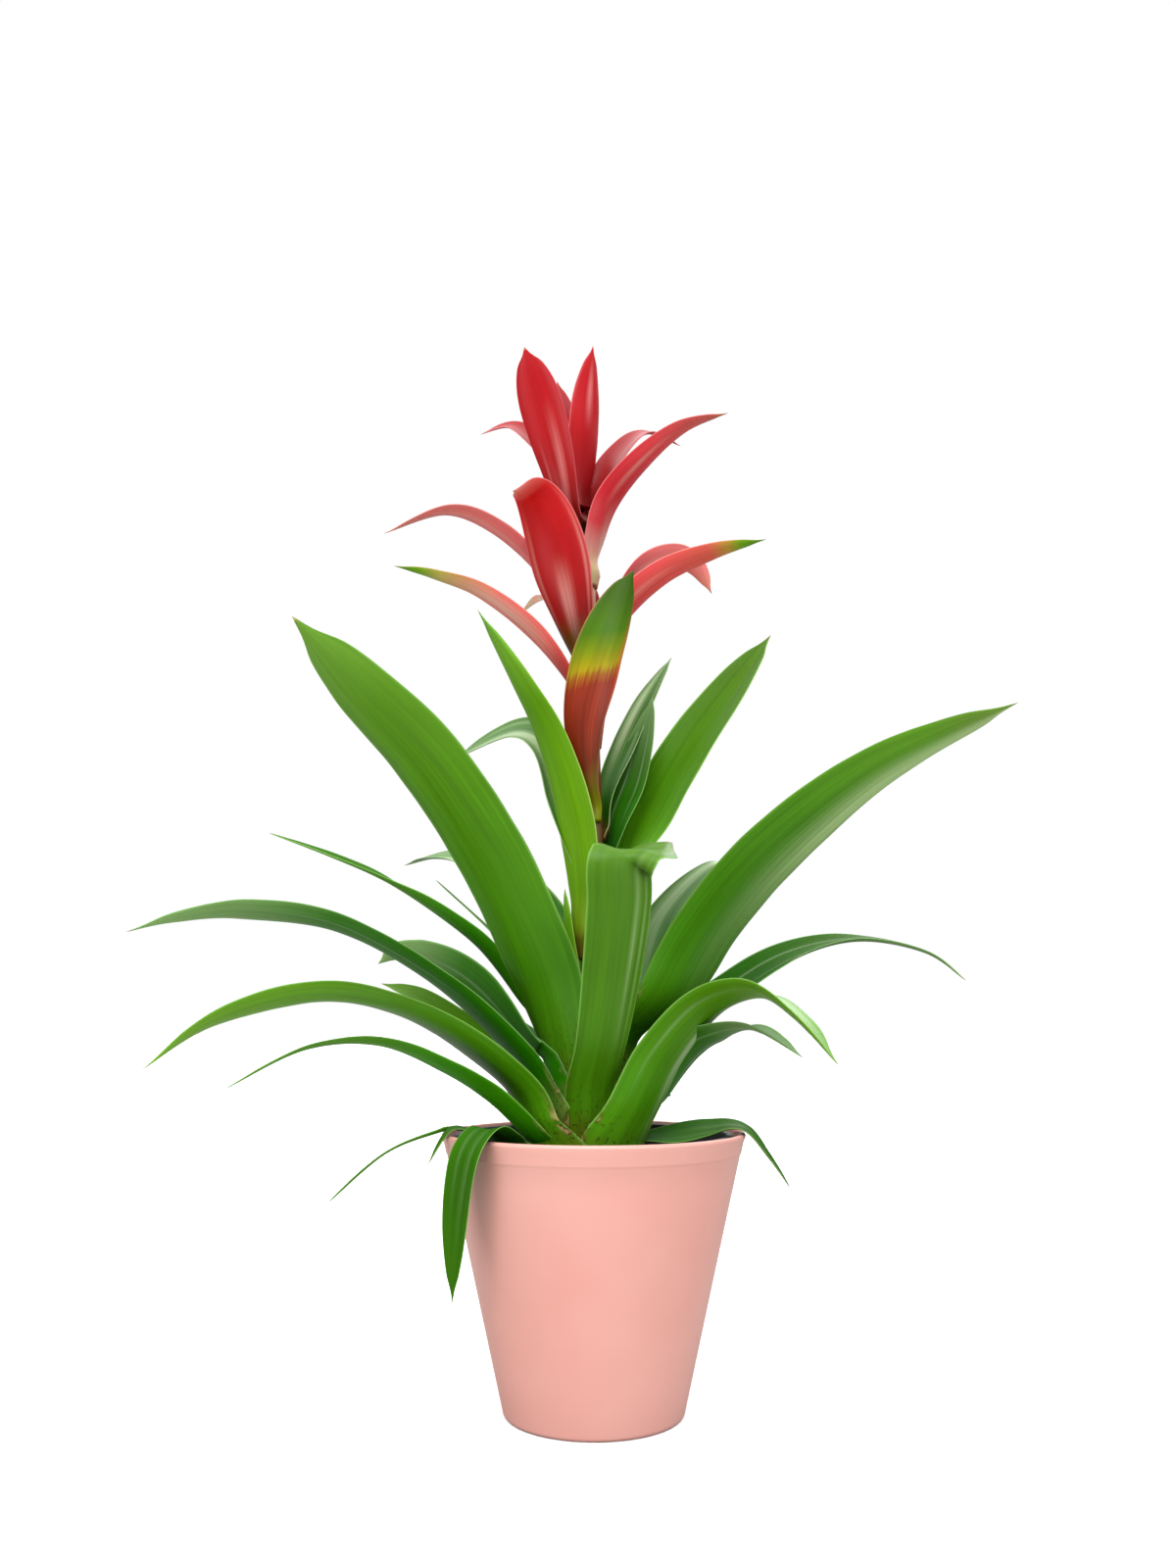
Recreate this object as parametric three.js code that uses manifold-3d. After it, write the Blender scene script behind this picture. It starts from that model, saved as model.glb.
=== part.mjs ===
// A guzmania bromeliad in a tapered pot: a rosette of strap leaves, a flower spike of red bracts,
// the black nursery pot with its substrate, and the cover pot around it.
// Millimetres, +Z up. The origin is the centre of the cover pot's flat foot.
// Azimuths are degrees in plan: 0 is to the right (+X), 90 is to the back (+Y), -90 is to the front.

import * as THREE from 'three';
import Module from 'manifold-3d';

const wasm = await Module();
wasm.setup();

// Cover pot
const POT_HEIGHT = 120;
const POT_RIM_RADIUS = 70;
const POT_TAPER = 0.25;
const POT_CORNER_RADIUS = 2.4;
const POT_WALL = 2.6;
const POT_FLOOR = 3;
const POT_BAND_HEIGHT = 9;
const POT_BAND_STEP = 0.5;
const POT_SIDES = 48;
const CORNER_STEPS = 3;
const EDGE_BREAK = 0.6;

// Nursery pot, standing in the cover pot
const NURSERY_RIM_DROP = 1;
const NURSERY_LIP_RADIUS = 64.5;
const NURSERY_LIP_HEIGHT = 6;
const NURSERY_LIP_OVERHANG = 2.3;
const NURSERY_WALL = 1.2;

// Substrate, with a plain hole that the foot of the plant stands in
const SOIL_DROP = 10;
const HOLE_RADIUS = 28;
const HOLE_DEPTH = 25;

// Fits
const GAP = 0.3;
const CUT_GAP = 0.34;
const MERGE = 0.02;

// Stem: radius at each height, and the height from which it leans to the left
const STEM_FOOT = POT_HEIGHT - NURSERY_RIM_DROP - SOIL_DROP - HOLE_DEPTH + GAP;
const STEM_RADII = [[STEM_FOOT, 22], [88, 22], [150, 9], [215, 5], [300, 4.2], [411, 3.5]];
const STEM_TOP = 414;
const STEM_SIDES = 20;
const LEAN_START = 260;
const LEAN_PER_HEIGHT = -0.021;

// Blades
const LEAF_THICKNESS = 0.8;
const BRACT_THICKNESS = 0.7;
const LEAF_FLARE = 0.28;
const BRACT_FLARE = 0.2;
const LEAF_SHEATH = 28;
const BRACT_SHEATH = 8;
const MAX_WRAP = 78;
const TIP_HALF_WIDTH = 0.7;
const ACROSS = 4;
const LEAF_RINGS = 12;
const BRACT_RINGS = 9;
const SAMPLES_PER_SPAN = 16;
const OPENING_START = 0.6;
const OPENING_LENGTH = 24;
const ROLL_LENGTH = 50;
const TWIST_LENGTH = 0.35;
const CLASP_REACH = 1.8;

const radians = THREE.MathUtils.degToRad;
const smooth = (x) => THREE.MathUtils.smoothstep(x, 0, 1);
const mix = THREE.MathUtils.lerp;

// Leaves. Each has the azimuth that it points to, the azimuth of its foot where that differs, the
// height of its seat on the stem, its greatest width, and the points of its midrib beyond the sheath
// as [distance from the stem's axis, height, degrees off the azimuth, degrees that the blade is
// turned there]. The sheath is as long as sheath says and opens outwards by flare for each unit of
// its height. The width starts as the share base of the greatest, with the share clasp more on the
// sheath, and is whole after the share growth of the length. A higher point makes a blunter tip.
// Roll tilts the blade about its midrib, twist tilts it further from twistStart on, and channel
// lifts its edges; all three are degrees. A leaf gives way to those above it in the list where they
// would touch.
const LEAVES = [
  { name: 'leaf_left_broad', azimuth: 225, seat: 128, width: 37, roll: 24, point: 9,
    midrib: [[32, 186], [48, 214], [69, 244], [102, 278], [140, 305], [171, 328]] },
  { name: 'leaf_right_broad', azimuth: -32, footAzimuth: -33, seat: 134, width: 40, base: 1.12,
    growth: 0.29, roll: -25, channel: 24, point: 4,
    midrib: [[41, 179.5, 2], [62, 210, 2], [95.5, 240.5, -2], [136.5, 271.5, 1], [172, 288, 2],
      [204, 294, -2]] },
  { name: 'leaf_front_right', azimuth: -45, footAzimuth: -67, seat: 99, width: 28, base: 1.12,
    clasp: 0.3, roll: -15, channel: 33, point: 8.1, sheath: 17, flare: 0.4,
    midrib: [[34.5, 131, -11], [46, 153.5, -3], [68, 174.5, 1], [96, 180], [118, 169.5, -1],
      [133.5, 152, 1]] },
  { name: 'leaf_left_long_lower', azimuth: 212, footAzimuth: 211, seat: 99, width: 36, base: 0.98,
    clasp: 0.55, roll: 7, twist: 24, twistStart: 0.5, channel: 21, point: 3.1, sheath: 26, flare: 0.5,
    midrib: [[42, 140.5, 1], [69.5, 161, -2], [99, 174, -1], [141.5, 179, 5], [177.5, 169.5, 1],
      [204, 151, 1]] },
  { name: 'leaf_front_folded', azimuth: -78, footAzimuth: -92, seat: 112, width: 31, base: 0.62,
    growth: 0.75, clasp: 0.28, roll: 0, twist: 60, twistStart: 0.8, point: 22,
    midrib: [[37, 162, -6], [44, 190, -1], [53, 220, 1], [58, 237], [57, 243, 5, -30],
      [53, 246, 18, -70], [50, 250, 34, -90]] },
  { name: 'leaf_left_long_upper', azimuth: 207, seat: 119, width: 33, base: 0.89, roll: 0, twist: 20,
    twistStart: 0.5, channel: 21, point: 4.3, sheath: 20, flare: 0.6,
    midrib: [[43, 156.5, 4], [77, 185, 1], [122.5, 208, 1], [163, 213.5, 1], [193, 209.5, 3],
      [210.5, 204, 1]] },
  { name: 'leaf_right_low_inner', azimuth: -28, footAzimuth: -22, seat: 107, width: 33, base: 1.15,
    roll: -17, twist: 16, twistStart: 0.5, point: 5.3,
    midrib: [[32, 133, 6], [46.5, 153.5, 5], [60, 162], [81, 166, -2], [103, 154, -1]] },
  { name: 'leaf_left_low', azimuth: 206, footAzimuth: 192, seat: 99, width: 28, base: 1.07, roll: 6,
    channel: 27, point: 2.4, sheath: 14,
    midrib: [[32, 118, 1], [49.5, 134], [73.5, 148, 2], [102, 159.5, -2], [136, 158, 1], [168, 142.5, 1]] },
  { name: 'leaf_inner_yellow', azimuth: 226, seat: 198, width: 23, base: 0.6, roll: 12, point: 3,
    sheath: 14, midrib: [[9, 232], [14, 265], [30, 302], [51, 328], [77, 355]] },
  { name: 'leaf_right_upright', azimuth: 10, seat: 208, width: 34, base: 0.55, roll: 40, point: 6,
    sheath: 14, midrib: [[22, 254], [47, 300], [71, 335], [94, 367]] },
  { name: 'leaf_right_arching', azimuth: -8, seat: 121, width: 34, roll: 33, twist: -29, twistStart: 0.5,
    channel: 31, point: 1.9,
    midrib: [[36, 159, 2], [62.5, 181.5], [92, 199.5, 2], [123.5, 206.5], [154.5, 201, 1], [172, 188, 1]] },
  { name: 'leaf_left_wide_back', azimuth: 174, seat: 125, width: 43, base: 1.1, roll: 20, channel: 35,
    point: 6,
    midrib: [[27.5, 155.5, -2], [48, 175.5, 2], [64.5, 189.5, 4], [84, 199], [95, 201],
      [106.5, 197.5, -2]] },
  { name: 'leaf_right_over_rim', azimuth: -8, seat: 95, width: 25, roll: 39, twist: -35,
    twistStart: 0.32, channel: 13, point: 3, sheath: 14, flare: 0.36,
    midrib: [[24, 115.5, 5], [41, 119, 1], [53, 121], [69, 122.1, -3], [80, 110.1, -1], [90, 95, 5]] },
  { name: 'leaf_left_hanging', azimuth: 221, footAzimuth: 225, seat: 94, width: 23, base: 0.61, roll: 3,
    twist: -22, twistStart: 0.55, channel: 17, point: 3.8, sheath: 14, flare: 0.08,
    midrib: [[46, 115.5, -3], [55, 120.8, 2], [65.5, 124, 4], [75.5, 113.5, 4], [75.5, 86, -1],
      [75.5, 55, -2]] },
  { name: 'leaf_left_over_rim', azimuth: 192, footAzimuth: 184, seat: 93, width: 11, base: 0.7, roll: 6,
    twist: -4, twistStart: 0.55, channel: 28, point: 3.5, sheath: 14, flare: 0.24,
    midrib: [[29, 114, -7], [46, 117.5, -4], [62, 121.6], [73.5, 120.6, 3], [95.5, 111, -4],
      [121.5, 88.5, -10]] },
  { name: 'leaf_left_short_tip', azimuth: 202, seat: 90, width: 11, base: 0.7, roll: -12, point: 2.4,
    sheath: 15, flare: 0.35,
    midrib: [[28, 112], [42, 118.5, 1], [57.5, 121.4, 1], [69, 122.6, 1], [78.5, 108]] },
  { name: 'leaf_scape_right', azimuth: 32, seat: 256, width: 16, base: 0.8, roll: 28, point: 4,
    sheath: 8, midrib: [[9, 282], [20, 308], [33, 333], [49, 358]] },
  { name: 'leaf_upright_dark', azimuth: 16, seat: 225, width: 24, base: 0.6, roll: 38, point: 4,
    sheath: 12, midrib: [[12, 265], [21, 290], [32, 332]] },
  { name: 'leaf_back_right_glossy', azimuth: 35, seat: 150, width: 35, base: 1.07, roll: 13, channel: 23,
    point: 2, midrib: [[31, 191.5, -3], [48, 223.5, 1], [77, 250, -3], [95, 238], [110, 232.5]] },
  { name: 'leaf_left_edge_on', azimuth: 186, seat: 140, width: 32, base: 0.8, roll: 12, twist: -34,
    twistStart: 0.5, channel: 36, point: 1.4,
    midrib: [[32, 176, -1], [56, 206, 1], [94.5, 232.5], [126, 247], [155, 257.5]] },
  { name: 'leaf_back_left_upper', azimuth: 147, seat: 165, width: 35, roll: -18, point: 5,
    midrib: [[28.5, 216], [50, 237], [74.5, 251], [98, 255.5], [122, 253]] },
  { name: 'leaf_back_left_droop', azimuth: 155, seat: 225, width: 26, base: 0.6, roll: -44, point: 5,
    sheath: 10, midrib: [[14, 278], [24, 306], [44, 316], [80, 305]] },
  { name: 'leaf_inner_small', azimuth: 205, seat: 180, width: 14, roll: 0, point: 3, sheath: 14,
    midrib: [[14, 212], [15, 232]] },
  { name: 'leaf_left_bright_back', azimuth: 160, seat: 115, width: 19, roll: -37, point: 5,
    midrib: [[44, 154.5, -2], [65.5, 165], [93, 182], [115, 189]] },
  { name: 'leaf_back_left_thin', azimuth: 140, seat: 145, width: 5, roll: 0, point: 1.6,
    midrib: [[34, 184], [52, 203], [80, 224], [112, 246]] },
  { name: 'leaf_back_left_short', azimuth: 150, seat: 106, width: 16, roll: 0, point: 4, sheath: 18,
    midrib: [[35, 136], [50, 146], [64, 148]] },
  { name: 'leaf_back_upper', azimuth: 75, seat: 126, width: 32, roll: 0, point: 5,
    midrib: [[36, 172], [60, 202], [92, 220], [124, 226], [154, 220], [178, 205]] },
  { name: 'leaf_back_middle', azimuth: 102, seat: 112, width: 30, roll: 0, point: 5,
    midrib: [[38, 152], [62, 176], [94, 190], [124, 192], [152, 182], [172, 166]] },
  { name: 'leaf_back_left_low', azimuth: 113, seat: 101, width: 26, roll: 0, point: 5,
    midrib: [[38, 134], [58, 143], [78, 144], [94, 137], [104, 126]] },
  { name: 'leaf_back_right_low', azimuth: 55, seat: 104, width: 28, roll: 0, point: 5,
    midrib: [[38, 137], [58, 152], [80, 161], [102, 165], [118, 163]] },
  { name: 'leaf_back_low', azimuth: 86, seat: 95, width: 24, roll: 0, point: 5, sheath: 18,
    midrib: [[44, 126], [66, 136], [92, 137], [114, 126], [130, 108]] },
];

// Bracts of the flower spike, from the lowest in front to the top.
const BRACTS = [
  { name: 'bract_front_lower', azimuth: -66, footAzimuth: -94, seat: 264, width: 26, base: 0.37,
    growth: 0.64, roll: 4, channel: 28, point: 7.8,
    midrib: [[14, 284, -40], [22, 310, -37], [26, 333, -24], [33, 354, -11], [39.5, 383, 6]] },
  { name: 'bract_front_upper', azimuth: 232, seat: 336, width: 33, base: 0.45, growth: 0.6, roll: 20,
    point: 7, midrib: [[11, 355], [20, 378], [31, 404], [40, 417], [49, 421], [60, 417]] },
  { name: 'bract_right_large', azimuth: -35, seat: 386, width: 20, base: 0.8, growth: 0.5, roll: -10,
    channel: 36, point: 2.8,
    midrib: [[5, 404, 2], [12.5, 428], [30, 444.5], [54.5, 459, 3], [83, 457.5]] },
  { name: 'bract_top_left', azimuth: 233, seat: 408, width: 25, base: 0.52, growth: 0.84, roll: 22,
    channel: 28, point: 8.9, midrib: [[15, 420, -2], [28, 447, 1], [44, 476, 2], [55, 494, 3]] },
  { name: 'bract_top_right', azimuth: -25, seat: 406, width: 22, base: 0.52, growth: 0.66, roll: -32,
    channel: 27, point: 5.3, midrib: [[-3, 438, -2], [-0.5, 474.5, 5], [0.8, 496, -1], [3.5, 522.5, 1]] },
  { name: 'bract_left_upper', azimuth: 205, seat: 345, width: 18, base: 0.8, roll: 4, point: 4,
    midrib: [[16, 367], [28, 394], [49, 410], [76, 413], [108, 396]] },
  { name: 'bract_right_green_tip', azimuth: -25, seat: 326, width: 18, roll: -25, point: 4,
    midrib: [[8, 352], [17, 371], [39, 387], [66, 394], [93, 396]] },
  { name: 'bract_left_green_tip', azimuth: 195, seat: 314, width: 15, roll: 20, point: 4,
    midrib: [[11, 336], [30, 360], [56, 378], [80, 385], [100, 388]] },
  { name: 'bract_right_drooping', azimuth: 25, seat: 364, width: 19, roll: -34, point: 5,
    midrib: [[14, 384], [32, 403], [51, 412], [64, 408], [73, 395]] },
  { name: 'bract_right_back', azimuth: 28, seat: 402, width: 19, roll: 29, channel: 28, point: 5,
    midrib: [[9, 445.5], [21.5, 468.5, -2], [36.5, 481, -1], [59, 480, 1]] },
  { name: 'bract_top_back', azimuth: 134, seat: 400, width: 20, roll: -20, point: 5,
    midrib: [[11, 430], [13, 455], [16, 482], [24, 513]] },
  { name: 'bract_top_left_back', azimuth: 165, seat: 396, width: 24, roll: -45, point: 4,
    midrib: [[12, 450], [26, 469], [42, 482], [60, 480]] },
  { name: 'bract_left_back_small', azimuth: 150, seat: 360, width: 24, roll: -36, point: 4,
    midrib: [[12, 376], [27, 385.5], [42, 380]] },
  { name: 'bract_left_lower', azimuth: 200, seat: 290, width: 14, roll: 0, point: 3,
    midrib: [[9, 306], [13, 328]] },
  { name: 'bract_back_upper', azimuth: 82, seat: 398, width: 20, roll: 0, point: 4,
    midrib: [[10, 420], [22, 440], [40, 450], [62, 446]] },
  { name: 'bract_back_middle', azimuth: 104, seat: 350, width: 20, roll: 0, point: 4,
    midrib: [[10, 372], [24, 394], [48, 406], [78, 400]] },
  { name: 'bract_back_lower', azimuth: 88, seat: 302, width: 18, roll: 0, point: 4,
    midrib: [[10, 326], [18, 348], [36, 362], [62, 362]] },
];

// The stem's radius at a height.
function stemRadius(height) {
  const above = STEM_RADII.findIndex(([level]) => level > height);
  const [lowLevel, lowRadius] = STEM_RADII[above - 1];
  const [highLevel, highRadius] = STEM_RADII[above];
  return mix(lowRadius, highRadius, (height - lowLevel) / (highLevel - lowLevel));
}

// How far the stem's axis lies to the right of the pot's axis at a height.
function axisShift(height) {
  return Math.max(0, height - LEAN_START) * LEAN_PER_HEIGHT;
}

// The control points of a blade's midrib in space, from its foot on the stem to its tip.
function midribPoints(blade) {
  const footAzimuth = (blade.footAzimuth ?? blade.azimuth) - blade.azimuth;
  const seatRadius = stemRadius(blade.seat) + GAP;
  const wrap = Math.min(radians(MAX_WRAP), (0.5 * blade.width * blade.base) / seatRadius);
  const foot = seatRadius / Math.cos(wrap / ACROSS) + blade.thickness / 2;
  const sheathTop = foot + blade.flare * blade.sheath;
  const plan = [
    [foot, blade.seat, footAzimuth],
    [mix(foot, sheathTop, 0.5), blade.seat + blade.sheath / 2, footAzimuth],
    [sheathTop, blade.seat + blade.sheath, footAzimuth],
    ...blade.midrib,
  ];
  return plan.map(([out, height, offset = 0, turn = 0]) => {
    const heading = radians(blade.azimuth + offset);
    const x = axisShift(blade.seat) + out * Math.cos(heading);
    const point = new THREE.Vector3(x, out * Math.sin(heading), height);
    return { point, out, angle: heading + radians(turn) };
  });
}

// One value of a smooth curve through four values, a share u of the way from b to c.
function throughFour(a, b, c, d, u) {
  const bend = 2 * a - 5 * b + 4 * c - d;
  const turn = 3 * b - a - 3 * c + d;
  return b + 0.5 * u * (c - a + u * (bend + u * turn));
}

// The midrib as many points, each with its distance along the blade.
function sampleMidrib(blade) {
  const control = midribPoints(blade);
  const last = control.length - 1;
  const samples = [];
  for (let span = 0; span < last; span++) {
    const four = [span - 1, span, span + 1, span + 2].map((i) => control[Math.min(Math.max(i, 0), last)]);
    const steps = span === last - 1 ? SAMPLES_PER_SPAN + 1 : SAMPLES_PER_SPAN;
    for (let step = 0; step < steps; step++) {
      const u = step / SAMPLES_PER_SPAN;
      const value = (read) => throughFour(...four.map(read), u);
      samples.push({
        point: new THREE.Vector3(value((c) => c.point.x), value((c) => c.point.y), value((c) => c.point.z)),
        out: value((c) => c.out),
        angle: value((c) => c.angle),
      });
    }
  }
  samples[0].along = 0;
  for (let i = 1; i < samples.length; i++) {
    samples[i].along = samples[i - 1].along + samples[i].point.distanceTo(samples[i - 1].point);
  }
  return samples;
}

// Half the blade's width at a share t of its length, which lies a distance along it: broader where
// it clasps the stem, and pointed at the tip.
function halfWidth(blade, t, along) {
  const growth = mix(blade.base, 1, smooth(t / blade.growth));
  const clasp = blade.clasp * (1 - smooth(along / (CLASP_REACH * blade.sheath)));
  const taper = 1 - Math.pow(t, blade.point);
  return Math.max(TIP_HALF_WIDTH, 0.5 * blade.width * (growth + clasp) * taper);
}

// The station at a share t of the blade's length: its place, frame, half width and wrap.
function stationAt(blade, samples, t) {
  const length = samples[samples.length - 1].along;
  const along = t * length;
  let i = 1;
  while (i < samples.length - 1 && samples[i].along < along) i++;
  const before = samples[i - 1];
  const after = samples[i];
  const u = (along - before.along) / (after.along - before.along);
  const place = before.point.clone().lerp(after.point, u);
  const tangent = after.point.clone().sub(before.point).normalize();
  const angle = mix(before.angle, after.angle, u);
  const side = new THREE.Vector3(-Math.sin(angle), Math.cos(angle), 0);
  side.addScaledVector(tangent, -side.dot(tangent)).normalize();
  const inward = tangent.clone().cross(side);
  const half = halfWidth(blade, t, along);
  const openingStart = OPENING_START * blade.sheath;
  const openingLength = blade.sheath - openingStart + OPENING_LENGTH;
  const opening = smooth((along - openingStart) / openingLength);
  const sheathWrap = half / mix(before.out, after.out, u);
  const wrap = Math.min(radians(MAX_WRAP), mix(sheathWrap, radians(blade.channel), opening));
  const twist = radians(blade.twist) * smooth((t - blade.twistStart) / TWIST_LENGTH);
  const roll = radians(blade.roll) * smooth((along - blade.sheath) / ROLL_LENGTH) + twist;
  const rolledSide = side.clone().multiplyScalar(Math.cos(roll)).addScaledVector(inward, Math.sin(roll));
  const rolledIn = tangent.clone().cross(rolledSide);
  return { place, side: rolledSide, inward: rolledIn, half, wrap };
}

// A blade as a closed solid: an arched section carried along the midrib, both faces divided alike.
// The spread widens and thickens it all round, for the room that its neighbours keep clear.
function bladeMesh(blade, spread) {
  const samples = sampleMidrib(blade);
  const points = [];
  const faces = [];
  for (let ring = 0; ring < blade.rings; ring++) {
    const station = stationAt(blade, samples, ring / (blade.rings - 1));
    const half = station.half + spread;
    const radius = half / station.wrap;
    const halfThickness = blade.thickness / 2 + spread;
    for (const face of [1, -1]) {
      for (let k = 0; k <= ACROSS; k++) {
        const turn = station.wrap * ((2 * k) / ACROSS - 1);
        const toSide = radius * Math.sin(turn) - face * halfThickness * Math.sin(turn);
        const toInside = radius * (1 - Math.cos(turn)) + face * halfThickness * Math.cos(turn);
        const point = station.place.clone();
        point.addScaledVector(station.side, toSide).addScaledVector(station.inward, toInside);
        points.push(point);
      }
    }
  }
  const perFace = ACROSS + 1;
  const perRing = 2 * perFace;
  for (let ring = 0; ring < blade.rings - 1; ring++) {
    const here = ring * perRing;
    const next = here + perRing;
    for (let k = 0; k < ACROSS; k++) {
      const inner = [here + k, here + k + 1, next + k + 1, next + k];
      faces.push([inner[0], inner[2], inner[1]], [inner[0], inner[3], inner[2]]);
      const outer = inner.map((index) => index + perFace);
      faces.push([outer[0], outer[1], outer[2]], [outer[0], outer[2], outer[3]]);
    }
    const left = [here, here + perFace, next + perFace, next];
    faces.push([left[0], left[1], left[2]], [left[0], left[2], left[3]]);
    const right = [here + ACROSS, next + ACROSS, next + ACROSS + perFace, here + ACROSS + perFace];
    faces.push([right[0], right[1], right[2]], [right[0], right[2], right[3]]);
  }
  const end = (blade.rings - 1) * perRing;
  for (let k = 0; k < ACROSS; k++) {
    faces.push([k, k + 1, k + 1 + perFace], [k, k + 1 + perFace, k + perFace]);
    const tip = end + k;
    faces.push([tip, tip + 1 + perFace, tip + 1], [tip, tip + perFace, tip + 1 + perFace]);
  }
  return { points, faces };
}

function toManifold({ points, faces }) {
  const vertProperties = new Float32Array(points.flatMap((p) => [p.x, p.y, p.z]));
  const triVerts = new Uint32Array(faces.flat());
  return new wasm.Manifold(new wasm.Mesh({ numProp: 3, vertProperties, triVerts }));
}

function toGeometry(manifold) {
  const mesh = manifold.getMesh();
  const geometry = new THREE.BufferGeometry();
  geometry.setAttribute('position', new THREE.BufferAttribute(mesh.vertProperties, 3));
  geometry.setIndex(new THREE.BufferAttribute(mesh.triVerts, 1));
  geometry.computeVertexNormals();
  return geometry;
}

// The largest of a solid's separate pieces.
function largestPiece(manifold) {
  const pieces = manifold.decompose();
  pieces.sort((a, b) => b.volume() - a.volume());
  return pieces[0];
}

// What a blade has unless its entry says otherwise.
const USUAL = {
  leaf: {
    kind: 'leaf',
    clasp: 0,
    twist: 0,
    twistStart: 0.55,
    base: 1,
    growth: 0.4,
    channel: 26,
    sheath: LEAF_SHEATH,
    flare: LEAF_FLARE,
    thickness: LEAF_THICKNESS,
    rings: LEAF_RINGS,
  },
  bract: {
    kind: 'bract',
    clasp: 0,
    twist: 0,
    twistStart: 0.55,
    base: 0.7,
    growth: 0.4,
    channel: 30,
    sheath: BRACT_SHEATH,
    flare: BRACT_FLARE,
    thickness: BRACT_THICKNESS,
    rings: BRACT_RINGS,
  },
};

// A solid of revolution from a profile of [radius, height] points.
function revolved(profile, sides) {
  const points = profile.map(([radius, height]) => new THREE.Vector2(radius, height));
  const geometry = new THREE.LatheGeometry(points, sides);
  return geometry.rotateX(Math.PI / 2);
}

// The cover pot's outer radius at a height.
function potRadius(height) {
  return POT_RIM_RADIUS - POT_TAPER * (POT_HEIGHT - height);
}

// The rounded corner between the flat foot and the side: an arc that ends along the side's slope.
function footCorner() {
  const sideAngle = Math.PI / 2 - Math.atan(POT_TAPER);
  const rise = POT_CORNER_RADIUS * (1 - Math.cos(sideAngle));
  const centre = potRadius(rise) - POT_CORNER_RADIUS * Math.sin(sideAngle);
  const points = [];
  for (let step = 0; step <= CORNER_STEPS; step++) {
    const angle = (sideAngle * step) / CORNER_STEPS;
    const height = POT_CORNER_RADIUS * (1 - Math.cos(angle));
    points.push([centre + POT_CORNER_RADIUS * Math.sin(angle), height]);
  }
  return points;
}

function coverPot() {
  const bandFoot = POT_HEIGHT - POT_BAND_HEIGHT;
  return revolved([
    [0, 0],
    ...footCorner(),
    [potRadius(bandFoot) - POT_BAND_STEP, bandFoot],
    [potRadius(bandFoot), bandFoot + POT_BAND_STEP],
    [POT_RIM_RADIUS, POT_HEIGHT - EDGE_BREAK],
    [POT_RIM_RADIUS - EDGE_BREAK, POT_HEIGHT],
    [POT_RIM_RADIUS - POT_WALL, POT_HEIGHT],
    [potRadius(POT_FLOOR) - POT_WALL, POT_FLOOR],
    [0, POT_FLOOR],
  ], POT_SIDES);
}

const NURSERY_TOP = POT_HEIGHT - NURSERY_RIM_DROP;
const NURSERY_FOOT = POT_FLOOR + GAP;

// The nursery pot's outer radius at a height, below its lip.
function nurseryRadius(height) {
  return NURSERY_LIP_RADIUS - NURSERY_LIP_OVERHANG - POT_TAPER * (NURSERY_TOP - height);
}

function nurseryPot() {
  const lipFoot = NURSERY_TOP - NURSERY_LIP_HEIGHT;
  return revolved([
    [0, NURSERY_FOOT],
    [nurseryRadius(NURSERY_FOOT), NURSERY_FOOT],
    [nurseryRadius(lipFoot), lipFoot],
    [NURSERY_LIP_RADIUS - EDGE_BREAK, lipFoot],
    [NURSERY_LIP_RADIUS, NURSERY_TOP - EDGE_BREAK],
    [NURSERY_LIP_RADIUS - EDGE_BREAK, NURSERY_TOP],
    [nurseryRadius(NURSERY_TOP) - NURSERY_WALL, NURSERY_TOP],
    [nurseryRadius(NURSERY_FOOT + NURSERY_WALL) - NURSERY_WALL, NURSERY_FOOT + NURSERY_WALL],
    [0, NURSERY_FOOT + NURSERY_WALL],
  ], POT_SIDES);
}

const SOIL_TOP = NURSERY_TOP - SOIL_DROP;

function substrate() {
  const foot = NURSERY_FOOT + NURSERY_WALL + GAP;
  const radiusAt = (height) => nurseryRadius(height) - NURSERY_WALL - GAP;
  return revolved([
    [0, foot],
    [radiusAt(foot), foot],
    [radiusAt(SOIL_TOP), SOIL_TOP],
    [HOLE_RADIUS, SOIL_TOP],
    [HOLE_RADIUS, SOIL_TOP - HOLE_DEPTH],
    [0, SOIL_TOP - HOLE_DEPTH],
  ], POT_SIDES);
}

function stem() {
  const profile = [[0, STEM_FOOT], ...STEM_RADII.map(([height, radius]) => [radius, height]), [0, STEM_TOP]];
  const geometry = revolved(profile, STEM_SIDES);
  const position = geometry.getAttribute('position');
  for (let i = 0; i < position.count; i++) {
    position.setX(i, position.getX(i) + axisShift(position.getZ(i)));
  }
  return geometry;
}

const LOOKS = {
  cover_pot: { color: '#f0afa5', roughness: 0.42 },
  nursery_pot: { color: '#1d1e20', roughness: 0.55 },
  substrate: { color: '#3a2a1e', roughness: 0.95 },
  stem: { color: '#5f8a2a', roughness: 0.5 },
  leaf: { color: '#3f7f1c', roughness: 0.38 },
  bract: { color: '#b81a22', roughness: 0.38 },
};

function piece(name, geometry, look) {
  const mesh = new THREE.Mesh(geometry, new THREE.MeshStandardMaterial({ ...LOOKS[look], metalness: 0 }));
  mesh.name = name;
  return mesh;
}

const plant = new THREE.Group();
plant.add(piece('cover_pot', coverPot(), 'cover_pot'));
plant.add(piece('nursery_pot', nurseryPot(), 'nursery_pot'));
plant.add(piece('substrate', substrate(), 'substrate'));
plant.add(piece('stem', stem(), 'stem'));

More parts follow.
